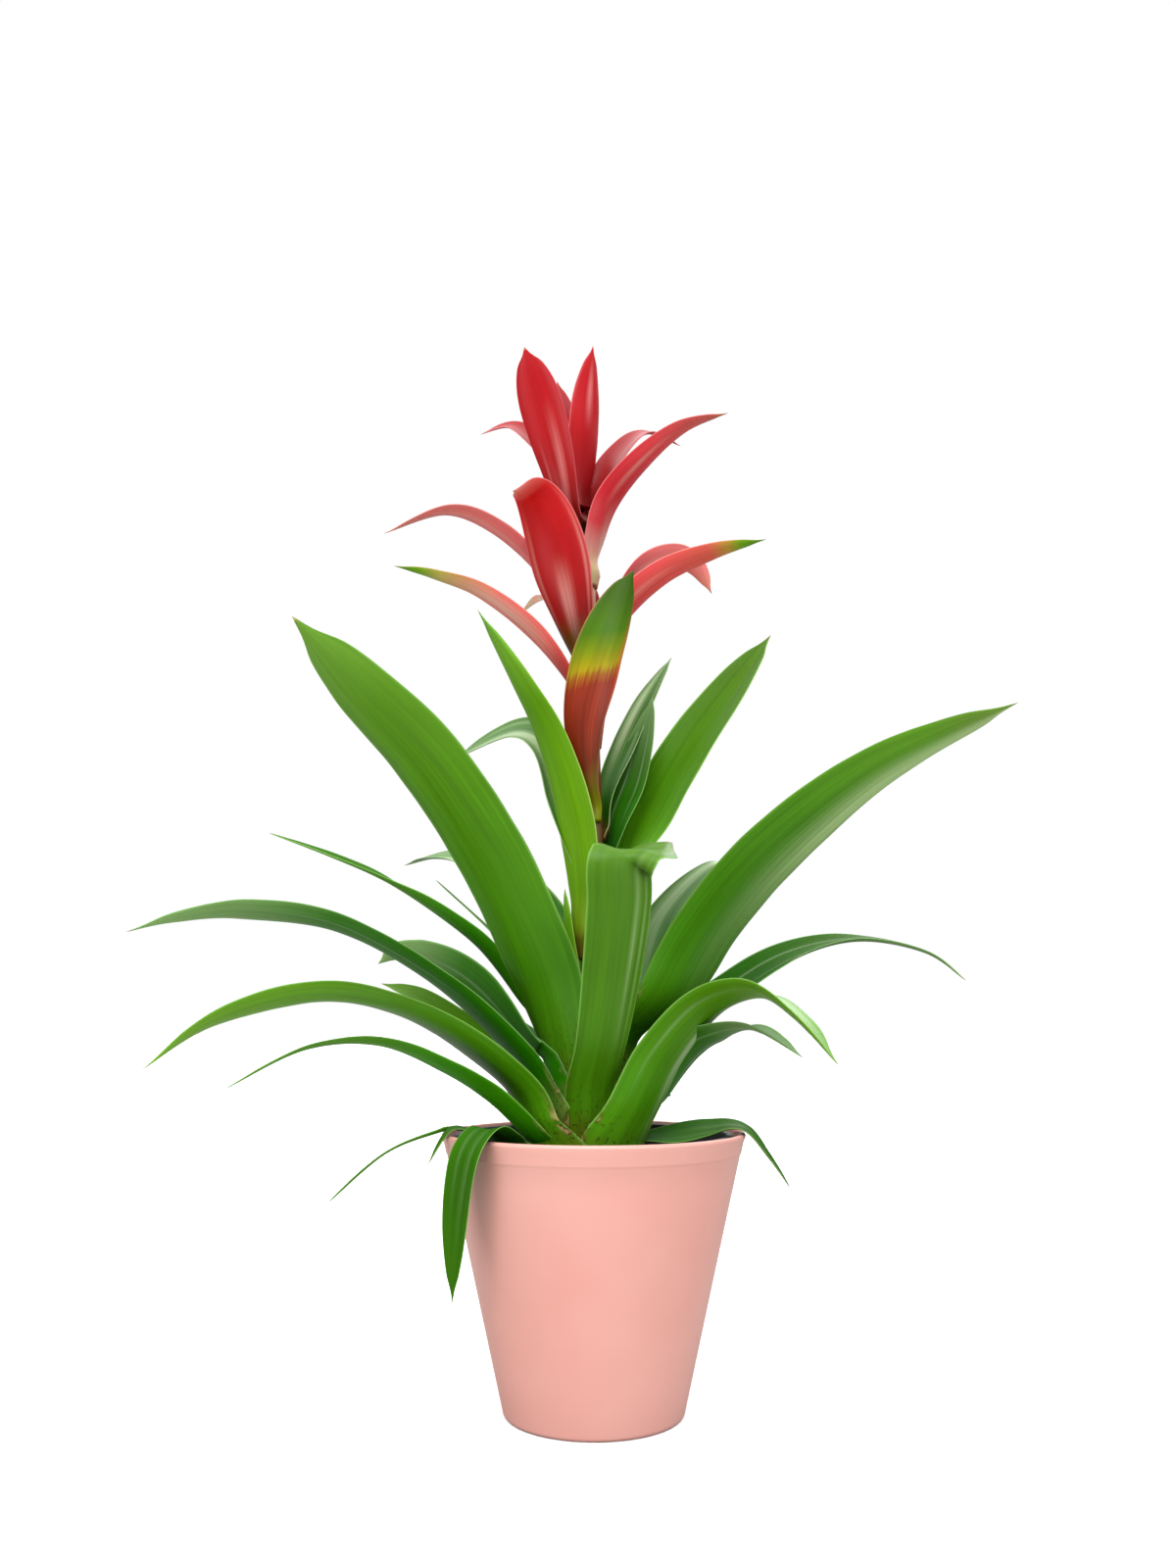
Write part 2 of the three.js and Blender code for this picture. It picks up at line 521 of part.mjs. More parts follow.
let taken = null;
const leaves = LEAVES.map((leaf) => ({ ...USUAL.leaf, ...leaf }));
const bracts = BRACTS.map((bract) => ({ ...USUAL.bract, ...bract }));
for (const blade of [...leaves, ...bracts]) {
  let solid = toManifold(bladeMesh(blade, 0));
  if (taken) solid = largestPiece(solid.subtract(taken)).simplify(MERGE);
  plant.add(piece(blade.name, toGeometry(solid), blade.kind));
  const room = toManifold(bladeMesh(blade, CUT_GAP));
  taken = taken ? taken.add(room) : room;
}

export default plant;
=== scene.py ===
# %% [markdown]
# # A guzmania bromeliad in its pot
# The plant is a rosette of strap leaves round a short stem. From its middle rises a spike of red
# bracts, which are leaves too. It grows in a dark nursery pot of bark and coir, and that stands in a
# pink cover pot. The solid model is loaded first. It fixes where everything stands, and each cell
# below grows one kind of piece in its place, with its finish. All lengths are in metres.

import math

import bpy
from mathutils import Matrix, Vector


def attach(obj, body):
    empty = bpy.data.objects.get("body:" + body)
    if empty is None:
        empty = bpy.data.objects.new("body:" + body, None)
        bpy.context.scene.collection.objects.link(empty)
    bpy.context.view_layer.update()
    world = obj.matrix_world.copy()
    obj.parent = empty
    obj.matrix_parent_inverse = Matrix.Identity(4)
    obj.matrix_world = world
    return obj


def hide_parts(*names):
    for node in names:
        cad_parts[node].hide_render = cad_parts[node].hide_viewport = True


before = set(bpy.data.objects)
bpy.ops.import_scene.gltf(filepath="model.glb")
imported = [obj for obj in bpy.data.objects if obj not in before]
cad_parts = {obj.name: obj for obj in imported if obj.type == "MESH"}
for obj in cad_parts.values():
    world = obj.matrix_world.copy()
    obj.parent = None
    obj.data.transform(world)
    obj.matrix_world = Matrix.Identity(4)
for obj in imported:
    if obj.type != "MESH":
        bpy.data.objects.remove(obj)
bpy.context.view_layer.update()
print("solid nodes:", len(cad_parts))

# %% [markdown]
# ## Helpers
# The tables below are easier to read in millimetres, so one constant turns them to metres. Colours
# are written as the hex values that a screen shows, and the renderer works in linear light, so one
# function turns them. One small function adds a node to any tree, with its settings and its links.
# What it returns can be named as the source of a later node's input.

# %% Units, colours and nodes
MM = 0.001


def linear(hex_colour):
    """A screen colour such as #3f7a1a as linear red, green, blue and alpha."""
    channels = [int(hex_colour[i:i + 2], 16) / 255 for i in (1, 3, 5)]
    turned = [c / 12.92 if c <= 0.04045 else ((c + 0.055) / 1.055) ** 2.4 for c in channels]
    return (*turned, 1.0)


def fill(node, inputs):
    """Fills a node's inputs: a socket, or the output in use of a node, is linked; a value is set."""
    for key, source in inputs.items():
        if isinstance(source, bpy.types.Node):
            source = next(output for output in source.outputs if output.enabled)
        if isinstance(source, bpy.types.NodeSocket):
            node.id_data.links.new(source, node.inputs[key])
        else:
            node.inputs[key].default_value = source
    return node


def add(tree, kind, inputs=None, **settings):
    """Adds a node to a tree, with its settings, and fills its inputs."""
    node = tree.nodes.new(kind)
    for name, value in settings.items():
        setattr(node, name, value)
    return fill(node, inputs or {})


def new_finish(name):
    """A new material, its node tree and the shader in it."""
    finish = bpy.data.materials.new(name)
    finish.use_nodes = True
    return finish, finish.node_tree, finish.node_tree.nodes["Principled BSDF"]


def new_tree(name, inputs, output):
    """A Geometry Nodes tree with named inputs and one output, and the identifiers of the inputs."""
    tree = bpy.data.node_groups.new(name, "GeometryNodeTree")
    tree.is_modifier = True
    identifiers = {}
    for label, kind, value in inputs:
        socket = tree.interface.new_socket(name=label, in_out="INPUT", socket_type=kind)
        if value is not None:
            socket.default_value = value
        identifiers[label] = socket.identifier
    tree.interface.new_socket(name=output, in_out="OUTPUT", socket_type="NodeSocketGeometry")
    return tree, identifiers


def mesh_object(name, mesh):
    """An object that shows a mesh, at the origin."""
    piece = bpy.data.objects.new(name, mesh)
    bpy.context.scene.collection.objects.link(piece)
    return piece


def stand_for(piece, node):
    """The piece takes the place of a solid node and rides on the plant's only body."""
    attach(piece, "root")
    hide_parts(node)


# %% [markdown]
# ## Camera
# The photograph was taken from a little above the rim of the pot, close up, with the lens tilted
# towards the flowers. A 27 mm lens on a frame 36 mm high sees as much as the photograph does.

# %% Camera
CAMERA_PLACE = (-2.6 * MM, -567 * MM, 167 * MM)
CAMERA_TILT = 11.7
LENS_MM = 27
FRAME_HEIGHT_MM = 36
NEAREST_SEEN = 0.02

camera_data = bpy.data.cameras.new("camera")
camera_data.sensor_fit = "VERTICAL"
camera_data.sensor_height = FRAME_HEIGHT_MM
camera_data.lens = LENS_MM
camera_data.clip_start = NEAREST_SEEN
camera = bpy.data.objects.new("camera", camera_data)
camera.location = CAMERA_PLACE
camera.rotation_euler = (math.radians(90 + CAMERA_TILT), 0, 0)
bpy.context.scene.collection.objects.link(camera)
bpy.context.scene.camera = camera
print("camera at", [round(v, 3) for v in camera.location])

# %% [markdown]
# ## Floor and light
# The photograph is a studio cut-out: white all round, lit from above and a little from the left. A
# big overhead light is kept in the sky itself: bright near the zenith and dim near the horizon, so
# that shiny leaves do not mirror white from every side. The camera sees the same sky as plain
# white. Panels add direction: a broad key from above and a little to the left, a tall narrow one for
# the upright light band on the pot, two low ones that keep both sides of the pot light, and one from
# behind for the edges of the leaves.

# %% Floor and light
FLOOR_RADIUS = 30.0
FLOOR_COLOUR = "#ffffff"
FLOOR_BOUNCE = "#9a9a98"
SKY_SHOWN = 1.0
SKY_TOP = 2.5
SKY_SIDE = 0.2
SKY_DIM_BELOW = 0.25
SKY_BRIGHT_ABOVE = 0.85
PANELS = [
    # name, place, width, height, watts
    ("key_panel", (-0.4, -1.3, 1.25), 1.1, 1.1, 21),
    ("pot_panel", (0.6, -1.2, 0.3), 0.14, 0.7, 3.2),
    ("low_panel", (0.8, -0.85, 0.14), 0.5, 0.5, 3),
    ("left_panel", (-0.95, -0.7, 0.12), 0.5, 0.5, 3),
    ("back_panel", (0.5, 1.2, 1.2), 0.9, 0.7, 5),
]
PANEL_TARGET = Vector((0, 0, 0.24))

floor_mesh = bpy.data.meshes.new("floor")
floor_mesh.from_pydata(
    [(x * FLOOR_RADIUS, y * FLOOR_RADIUS, 0) for x, y in ((-1, -1), (1, -1), (1, 1), (-1, 1))],
    [],
    [(0, 1, 2, 3)],
)
floor = mesh_object("floor", floor_mesh)
floor_finish, floor_tree, floor_shader = new_finish("matt_white_paper")
floor_seen = add(floor_tree, "ShaderNodeLightPath").outputs["Is Camera Ray"]
floor_colour = add(floor_tree, "ShaderNodeMix", {
    0: floor_seen, 6: linear(FLOOR_BOUNCE), 7: linear(FLOOR_COLOUR)}, data_type="RGBA")
fill(floor_shader, {"Base Color": floor_colour, "Roughness": 1.0, "Specular IOR Level": 0.0})
floor_mesh.materials.append(floor_finish)

sky = bpy.data.worlds.new("white_studio")
sky.use_nodes = True
sky_tree = sky.node_tree
sky_direction = add(sky_tree, "ShaderNodeTexCoord").outputs["Generated"]
sky_height = add(sky_tree, "ShaderNodeSeparateXYZ", {0: sky_direction}).outputs["Z"]
sky_light = add(sky_tree, "ShaderNodeMapRange", {
    0: sky_height, 1: SKY_DIM_BELOW, 2: SKY_BRIGHT_ABOVE, 3: SKY_SIDE, 4: SKY_TOP,
}, interpolation_type="SMOOTHSTEP")
seen = add(sky_tree, "ShaderNodeLightPath").outputs["Is Camera Ray"]
sky_strength = add(sky_tree, "ShaderNodeMix", {0: seen, 2: sky_light, 3: SKY_SHOWN}, data_type="FLOAT")
fill(sky_tree.nodes["Background"], {"Color": (1, 1, 1, 1), "Strength": sky_strength})
bpy.context.scene.world = sky
bpy.context.scene.view_settings.view_transform = "Standard"

for name, place, width, height, watts in PANELS:
    light = bpy.data.lights.new(name, "AREA")
    light.shape = "RECTANGLE"
    light.size = width
    light.size_y = height
    light.energy = watts
    panel = bpy.data.objects.new(name, light)
    panel.location = place
    panel.rotation_euler = (PANEL_TARGET - Vector(place)).to_track_quat("-Z", "Y").to_euler()
    bpy.context.scene.collection.objects.link(panel)
print("light panels:", len(PANELS))

# %% [markdown]
# ## The leaves as a table
# A leaf of this plant is a strap with no stalk. Its foot, the sheath, clasps the stem and its
# neighbours, and further out the blade opens to a shallow channel and arches under its weight. So
# each leaf is a row of a few real sizes: the direction that it points to, the height of its seat on
# the stem, its width, and the points of its midrib, each as distance from the stem's axis, height,
# degrees off the leaf's direction, and degrees that the blade is turned there. A direction of 0 is to
# the right, 90 away from the viewer, and a foot's own direction is given where it differs.
#
# The base is the foot's share of the full width, the growth is the share of the length where the
# blade is full, and the clasp widens the foot only. The channel is how many degrees the blade curls
# up each way. Roll and twist turn it about its midrib, the twist only in its outer part. The higher
# the point, the blunter the tip. The sheath is the foot's length, and the flare leans it outwards.
# The tone makes one leaf lighter or darker than its finish.

# %% Leaf table, in millimetres and degrees
LEAVES = [
    dict(name="leaf_left_broad", azimuth=225, seat=128, width=37, roll=24, point=9, finish="mature",
         wave=0.9,
         midrib=[(32, 186), (48, 214), (69, 244), (102, 278), (140, 305), (171, 328)]),
    dict(name="leaf_right_broad", azimuth=-32, foot_azimuth=-33, seat=134, width=40, base=1.12,
         growth=0.29, roll=-25, channel=24, point=4, finish="half_pale",
         midrib=[(41, 179.5, 2), (62, 210, 2), (95.5, 240.5, -2), (136.5, 271.5, 1), (172, 288, 2),
                 (204, 294, -2)]),
    dict(name="leaf_front_right", azimuth=-45, foot_azimuth=-67, seat=99, width=28, base=1.12, clasp=0.3,
         roll=-15, channel=33, point=8.1, sheath=17, flare=0.4, finish="pale_edged", tone=1.12,
         midrib=[(34.5, 131, -11), (46, 153.5, -3), (68, 174.5, 1), (96, 180), (118, 169.5, -1),
                 (133.5, 152, 1)]),
    dict(name="leaf_left_long_lower", azimuth=212, foot_azimuth=211, seat=99, width=36, base=0.98,
         clasp=0.55, roll=7, twist=24, twist_start=0.5, channel=21, point=3.1, sheath=26, flare=0.5,
         finish="mature", tone=1.35,
         midrib=[(42, 140.5, 1), (69.5, 161, -2), (99, 174, -1), (141.5, 179, 5), (177.5, 169.5, 1),
                 (204, 151, 1)]),
    dict(name="leaf_front_folded", azimuth=-78, foot_azimuth=-92, seat=112, width=31, base=0.62,
         growth=0.75, clasp=0.28, roll=0, twist=60, twist_start=0.8, point=22, finish="folded",
         midrib=[(37, 162, -6), (44, 190, -1), (53, 220, 1), (58, 237), (57, 243, 5, -30),
                 (53, 246, 18, -70), (50, 250, 34, -90)]),
    dict(name="leaf_left_long_upper", azimuth=207, seat=119, width=33, base=0.89, roll=0, twist=20,
         twist_start=0.5, channel=21, point=4.3, sheath=20, flare=0.6, finish="deep", tone=1.15,
         midrib=[(43, 156.5, 4), (77, 185, 1), (122.5, 208, 1), (163, 213.5, 1), (193, 209.5, 3),
                 (210.5, 204, 1)]),
    dict(name="leaf_right_low_inner", azimuth=-28, foot_azimuth=-22, seat=107, width=33, base=1.15,
         roll=-17, twist=16, twist_start=0.5, point=5.3, finish="deep",
         midrib=[(32, 133, 6), (46.5, 153.5, 5), (60, 162), (81, 166, -2), (103, 154, -1)]),
    dict(name="leaf_left_low", azimuth=206, foot_azimuth=192, seat=99, width=28, base=1.07, roll=6,
         channel=27, point=2.4, sheath=14, finish="low", tone=1.1,
         midrib=[(32, 118, 1), (49.5, 134), (73.5, 148, 2), (102, 159.5, -2), (136, 158, 1),
                 (168, 142.5, 1)]),
    dict(name="leaf_inner_yellow", azimuth=226, seat=198, width=23, base=0.6, roll=12, point=3, sheath=14,
         finish="young",
         midrib=[(9, 232), (14, 265), (30, 302), (51, 328), (77, 355)]),
    dict(name="leaf_right_upright", azimuth=10, seat=208, width=34, base=0.55, roll=40, point=6,
         sheath=14, finish="fresh", tone=0.94,
         midrib=[(22, 254), (47, 300), (71, 335), (94, 367)]),
    dict(name="leaf_right_arching", azimuth=-8, seat=121, width=34, roll=33, twist=-29, twist_start=0.5,
         channel=31, point=1.9, finish="deep", tone=0.72,
         midrib=[(36, 159, 2), (62.5, 181.5), (92, 199.5, 2), (123.5, 206.5), (154.5, 201, 1),
                 (172, 188, 1)]),
    dict(name="leaf_left_wide_back", azimuth=174, seat=125, width=43, base=1.1, roll=20, channel=35,
         point=6, finish="deep", tone=1.07,
         midrib=[(27.5, 155.5, -2), (48, 175.5, 2), (64.5, 189.5, 4), (84, 199), (95, 201),
                 (106.5, 197.5, -2)]),
    dict(name="leaf_right_over_rim", azimuth=-8, seat=95, width=25, roll=39, twist=-35, twist_start=0.32,
         channel=13, point=3, sheath=14, flare=0.36, finish="low", tone=0.8,
         midrib=[(24, 115.5, 5), (41, 119, 1), (53, 121), (69, 122.1, -3), (80, 110.1, -1), (90, 95, 5)]),
    dict(name="leaf_left_hanging", azimuth=221, foot_azimuth=225, seat=94, width=23, base=0.61, roll=3,
         twist=-22, twist_start=0.55, channel=17, point=3.8, sheath=14, flare=0.08, finish="low",
         tone=0.92,
         midrib=[(46, 115.5, -3), (55, 120.8, 2), (65.5, 124, 4), (75.5, 113.5, 4), (75.5, 86, -1),
                 (75.5, 55, -2)]),
    dict(name="leaf_left_over_rim", azimuth=192, foot_azimuth=184, seat=93, width=11, base=0.7, roll=6,
         twist=-4, twist_start=0.55, channel=28, point=3.5, sheath=14, flare=0.24, finish="low",
         midrib=[(29, 114, -7), (46, 117.5, -4), (62, 121.6), (73.5, 120.6, 3), (95.5, 111, -4),
                 (121.5, 88.5, -10)]),
    dict(name="leaf_left_short_tip", azimuth=202, seat=90, width=11, base=0.7, roll=-12, point=2.4,
         sheath=15, flare=0.35, finish="low",
         midrib=[(28, 112), (42, 118.5, 1), (57.5, 121.4, 1), (69, 122.6, 1), (78.5, 108)]),
    dict(name="leaf_scape_right", azimuth=32, seat=256, width=16, base=0.8, roll=28, point=4, sheath=8,
         finish="striped",
         midrib=[(9, 282), (20, 308), (33, 333), (49, 358)]),
    dict(name="leaf_upright_dark", azimuth=16, seat=225, width=24, base=0.6, roll=38, point=4, sheath=12,
         finish="deep",
         midrib=[(12, 265), (21, 290), (32, 332)]),
    dict(name="leaf_back_right_glossy", azimuth=35, seat=150, width=35, base=1.07, roll=13, channel=23,
         point=2, finish="striped", tone=0.95,
         midrib=[(31, 191.5, -3), (48, 223.5, 1), (77, 250, -3), (95, 238), (110, 232.5)]),
    dict(name="leaf_left_edge_on", azimuth=186, seat=140, width=32, base=0.8, roll=12, twist=-34,
         twist_start=0.5, channel=36, point=1.4, finish="low",
         midrib=[(32, 176, -1), (56, 206, 1), (94.5, 232.5), (126, 247), (155, 257.5)]),
    dict(name="leaf_back_left_upper", azimuth=147, seat=165, width=35, roll=-18, point=5,
         finish="striped",
         midrib=[(28.5, 216), (50, 237), (74.5, 251), (98, 255.5), (122, 253)]),
    dict(name="leaf_back_left_droop", azimuth=155, seat=225, width=26, base=0.6, roll=-44, point=5,
         sheath=10, finish="striped", tone=0.9,
         midrib=[(14, 278), (24, 306), (44, 316), (80, 305)]),
    dict(name="leaf_inner_small", azimuth=205, seat=180, width=14, roll=0, point=3, sheath=14,
         finish="young",
         midrib=[(14, 212), (15, 232)]),
    dict(name="leaf_left_bright_back", azimuth=160, seat=115, width=19, roll=-37, point=5, finish="fresh",
         midrib=[(44, 154.5, -2), (65.5, 165), (93, 182), (115, 189)]),
    dict(name="leaf_back_left_thin", azimuth=140, seat=145, width=5, roll=0, point=1.6, finish="low",
         midrib=[(34, 184), (52, 203), (80, 224), (112, 246)]),
    dict(name="leaf_back_left_short", azimuth=150, seat=106, width=16, roll=0, point=4, sheath=18,
         finish="low",
         midrib=[(35, 136), (50, 146), (64, 148)]),
    dict(name="leaf_back_upper", azimuth=75, seat=126, width=32, roll=0, point=5, finish="mature",
         midrib=[(36, 172), (60, 202), (92, 220), (124, 226), (154, 220), (178, 205)]),
    dict(name="leaf_back_middle", azimuth=102, seat=112, width=30, roll=0, point=5, finish="deep",
         midrib=[(38, 152), (62, 176), (94, 190), (124, 192), (152, 182), (172, 166)]),
    dict(name="leaf_back_left_low", azimuth=113, seat=101, width=26, roll=0, point=5, finish="low",
         midrib=[(38, 134), (58, 143), (78, 144), (94, 137), (104, 126)]),
    dict(name="leaf_back_right_low", azimuth=55, seat=104, width=28, roll=0, point=5, finish="deep",
         midrib=[(38, 137), (58, 152), (80, 161), (102, 165), (118, 163)]),
    dict(name="leaf_back_low", azimuth=86, seat=95, width=24, roll=0, point=5, sheath=18, finish="mature",
         midrib=[(44, 126), (66, 136), (92, 137), (114, 126), (130, 108)]),
]
print("leaves:", len(LEAVES))

# %% [markdown]
# ## The bracts as a table
# The coloured leaves of the flower spike clasp the thin upper stem. They are shorter and stiffer,
# and the lowest ones keep some green, because they grew before the plant came into flower.

# %% Bract table, in millimetres and degrees
BRACTS = [
    dict(name="bract_front_lower", azimuth=-66, foot_azimuth=-94, seat=264, width=26, base=0.37,
         growth=0.64, roll=4, channel=28, point=7.8, finish="half_green",
         midrib=[(14, 284, -40), (22, 310, -37), (26, 333, -24), (33, 354, -11), (39.5, 383, 6)]),
    dict(name="bract_front_upper", azimuth=232, seat=336, width=33, base=0.45, growth=0.6, roll=20,
         point=7, finish="front",
         midrib=[(11, 355), (20, 378), (31, 404), (40, 417), (49, 421), (60, 417)]),
    dict(name="bract_right_large", azimuth=-35, seat=386, width=20, base=0.8, growth=0.5, roll=-10,
         channel=36, point=2.8, finish="bright",
         midrib=[(5, 404, 2), (12.5, 428), (30, 444.5), (54.5, 459, 3), (83, 457.5)]),
    dict(name="bract_top_left", azimuth=233, seat=408, width=25, base=0.52, growth=0.84, roll=22,
         channel=28, point=8.9, finish="top",
         midrib=[(15, 420, -2), (28, 447, 1), (44, 476, 2), (55, 494, 3)]),
    dict(name="bract_top_right", azimuth=-25, seat=406, width=22, base=0.52, growth=0.66, roll=-32,
         channel=27, point=5.3, finish="crown", tone=0.93,
         midrib=[(-3, 438, -2), (-0.5, 474.5, 5), (0.8, 496, -1), (3.5, 522.5, 1)]),
    dict(name="bract_left_upper", azimuth=205, seat=345, width=18, base=0.8, roll=4, point=4,
         finish="blush",
         midrib=[(13, 367, -34), (26, 394, -20), (49, 410, -5), (76, 413), (108, 396)]),
    dict(name="bract_right_green_tip", azimuth=-25, seat=326, width=18, roll=-25, point=4,
         finish="green_tip",
         midrib=[(8, 352), (17, 371), (39, 387), (66, 394), (93, 396)]),
    dict(name="bract_left_green_tip", azimuth=195, seat=314, width=15, roll=20, point=4,
         finish="pale_green_tip", tone=1.05,
         midrib=[(11, 336), (30, 360), (56, 378), (80, 385), (100, 388)]),
    dict(name="bract_right_drooping", azimuth=25, seat=364, width=19, roll=-34, point=5, finish="blush",
         midrib=[(14, 384), (32, 403), (51, 412), (64, 408), (73, 395)]),
    dict(name="bract_right_back", azimuth=28, seat=402, width=19, roll=29, channel=28, point=5,
         finish="crimson",
         midrib=[(9, 445.5), (21.5, 468.5, -2), (36.5, 481, -1), (59, 480, 1)]),
    dict(name="bract_top_back", azimuth=134, seat=400, width=20, roll=-20, point=5, finish="crimson",
         midrib=[(11, 430), (13, 455), (16, 482), (24, 513)]),
    dict(name="bract_top_left_back", azimuth=165, seat=396, width=24, roll=-45, point=4, finish="crimson",
         midrib=[(12, 450), (26, 469), (42, 482), (60, 480)]),
    # Painted light: its tone of 1.7 lightens a bract that lies in shade.
    dict(name="bract_left_back_small", azimuth=150, seat=360, width=24, roll=-36, point=4, finish="faded",
         tone=1.7,
         midrib=[(12, 376), (27, 385.5), (42, 380)]),
    dict(name="bract_left_lower", azimuth=200, seat=290, width=14, roll=0, point=3, finish="half_green",
         midrib=[(9, 306), (13, 328)]),
    dict(name="bract_back_upper", azimuth=82, seat=398, width=20, roll=0, point=4, finish="crimson",
         midrib=[(10, 420), (22, 440), (40, 450), (62, 446)]),
    dict(name="bract_back_middle", azimuth=104, seat=350, width=20, roll=0, point=4, finish="crimson",
         midrib=[(10, 372), (24, 394), (48, 406), (78, 400)]),
    dict(name="bract_back_lower", azimuth=88, seat=302, width=18, roll=0, point=4, finish="green_tip",
         midrib=[(10, 326), (18, 348), (36, 362), (62, 362)]),
]
print("bracts:", len(BRACTS))

# %% [markdown]
# ## From a row of the table to a midrib
# A blade's foot lies on the stem, so the stem's sizes come first. Then a smooth curve runs through
# the midrib's points. At even steps along it, a station keeps what a section of the blade needs: the
# place, the direction across the blade, the direction towards the plant, half the width, and how
# far the section wraps round, which is much at the sheath and little in the open blade.

# %% Stem sizes and blade defaults
STEM_RADII = [(84.3, 22), (88, 22), (150, 9), (215, 5), (300, 4.2), (411, 3.5)]
STEM_TOP = 414
LEAN_START = 260
LEAN_PER_HEIGHT = -0.021
SEAT_GAP = 0.3
MAX_WRAP = math.radians(78)
SECTION_SIDES = 4
OPENING_START = 0.6
OPENING_LENGTH = 24
ROLL_LENGTH = 50
TWIST_LENGTH = 0.35
CLASP_REACH = 1.8
STATIONS = 96
SAMPLES_PER_SPAN = 24

EVERY_BLADE = dict(growth=0.4, clasp=0, twist=0, twist_start=0.55, tone=1)
LEAF_DEFAULTS = dict(EVERY_BLADE, base=1, channel=26, sheath=28, flare=0.28, thickness=0.8, wave=0.45)
BRACT_DEFAULTS = dict(EVERY_BLADE, base=0.7, channel=30, sheath=8, flare=0.2, thickness=0.7, wave=0.3)


def mix(a, b, share):
    return a + (b - a) * share


def smooth(x):
    x = min(max(x, 0.0), 1.0)
    return x * x * (3 - 2 * x)


def stem_radius(height):
    """The stem's radius at a height, in millimetres."""
    for (low, low_radius), (high, high_radius) in zip(STEM_RADII, STEM_RADII[1:]):
        if height <= high:
            return mix(low_radius, high_radius, (height - low) / (high - low))
    return STEM_RADII[-1][1]


def axis_shift(height):
    """How far the leaning stem's axis lies to the right of the pot's axis."""
    return max(0.0, height - LEAN_START) * LEAN_PER_HEIGHT


# %% Midrib curve
def midrib_controls(blade):
    """The points that the midrib runs through, from its foot on the stem to its tip."""
    azimuth = blade["azimuth"]
    foot_turn = blade.get("foot_azimuth", azimuth) - azimuth
    seat_radius = stem_radius(blade["seat"]) + SEAT_GAP
    wrap = min(MAX_WRAP, 0.5 * blade["width"] * blade["base"] / seat_radius)
    foot = seat_radius / math.cos(wrap / SECTION_SIDES) + blade["thickness"] / 2
    top = foot + blade["flare"] * blade["sheath"]
    plan = [
        (foot, blade["seat"], foot_turn),
        (mix(foot, top, 0.5), blade["seat"] + blade["sheath"] / 2, foot_turn),
        (top, blade["seat"] + blade["sheath"], foot_turn),
        *blade["midrib"],
    ]
    controls = []
    for out, height, offset, turn in [(*point, 0, 0)[:4] for point in plan]:
        heading = math.radians(azimuth + offset)
        x = axis_shift(blade["seat"]) + out * math.cos(heading)
        controls.append((x, out * math.sin(heading), height, out, heading + math.radians(turn)))
    return controls


def through_four(a, b, c, d, u):
    """One value of a smooth curve through four values, a share u of the way from b to c."""
    bend = 2 * a - 5 * b + 4 * c - d
    turn = 3 * b - a - 3 * c + d
    return b + 0.5 * u * (c - a + u * (bend + u * turn))


def midrib_samples(blade):
    """Many points of the midrib: place, distance from the axis, direction, distance along."""
    controls = midrib_controls(blade)
    last = len(controls) - 1
    samples = []
    for span in range(last):
        four = [controls[min(max(i, 0), last)] for i in range(span - 1, span + 3)]
        steps = SAMPLES_PER_SPAN + (span == last - 1)
        for step in range(steps):
            u = step / SAMPLES_PER_SPAN
            x, y, z, out, angle = [through_four(*values, u) for values in zip(*four)]
            along = 0.0
            if samples:
                before = samples[-1]
                along = before[3] + (Vector((x, y, z)) - before[0]).length
            samples.append((Vector((x, y, z)), out, angle, along))
    return samples


# %% Stations along a blade
TIP_START = 0.92
TIP_LENGTH = 0.06
TIP_NARROWING = 0.42


def half_width(blade, t, along):
    """Half the blade's width at a share t of its length, which lies a distance along it."""
    growth = mix(blade["base"], 1, smooth(t / blade["growth"]))
    clasp = blade["clasp"] * (1 - smooth(along / (CLASP_REACH * blade["sheath"])))
    drawn_out = 1 - TIP_NARROWING * smooth((t - TIP_START) / TIP_LENGTH)
    return 0.5 * blade["width"] * (growth + clasp) * (1 - t ** blade["point"]) * drawn_out


def blade_stations(blade):
    """The blade's sections at even steps: place, side, inward, half width and wrap."""
    samples = midrib_samples(blade)
    length = samples[-1][3]
    stations = []
    i = 1
    for step in range(STATIONS):
        t = step / (STATIONS - 1)
        along = t * length
        while i < len(samples) - 1 and samples[i][3] < along:
            i += 1
        before, after = samples[i - 1], samples[i]
        u = (along - before[3]) / (after[3] - before[3])
        place = before[0].lerp(after[0], u)
        near = samples[max(i - 3, 0)]
        far = samples[min(i + 2, len(samples) - 1)]
        tangent = (far[0] - near[0]).normalized()
        angle = mix(before[2], after[2], u)
        side = Vector((-math.sin(angle), math.cos(angle), 0))
        side = (side - tangent * side.dot(tangent)).normalized()
        inward = tangent.cross(side)
        half = half_width(blade, t, along)
        opening_start = OPENING_START * blade["sheath"]
        opening_length = blade["sheath"] - opening_start + OPENING_LENGTH
        opening = smooth((along - opening_start) / opening_length)
        sheath_wrap = max(half, 0.01) / mix(before[1], after[1], u)
        wrap = min(MAX_WRAP, mix(sheath_wrap, math.radians(blade["channel"]), opening))
        twist = math.radians(blade["twist"]) * smooth((t - blade["twist_start"]) / TWIST_LENGTH)
        roll = math.radians(blade["roll"]) * smooth((along - blade["sheath"]) / ROLL_LENGTH) + twist
        rolled_side = side * math.cos(roll) + inward * math.sin(roll)
        stations.append((place, rolled_side, tangent.cross(rolled_side), half, wrap))
    return stations, length


sample_stations, sample_length = blade_stations({**LEAF_DEFAULTS, **LEAVES[0]})
print(f"{LEAVES[0]['name']}: {sample_length:.0f} mm long, {len(sample_stations)} stations")

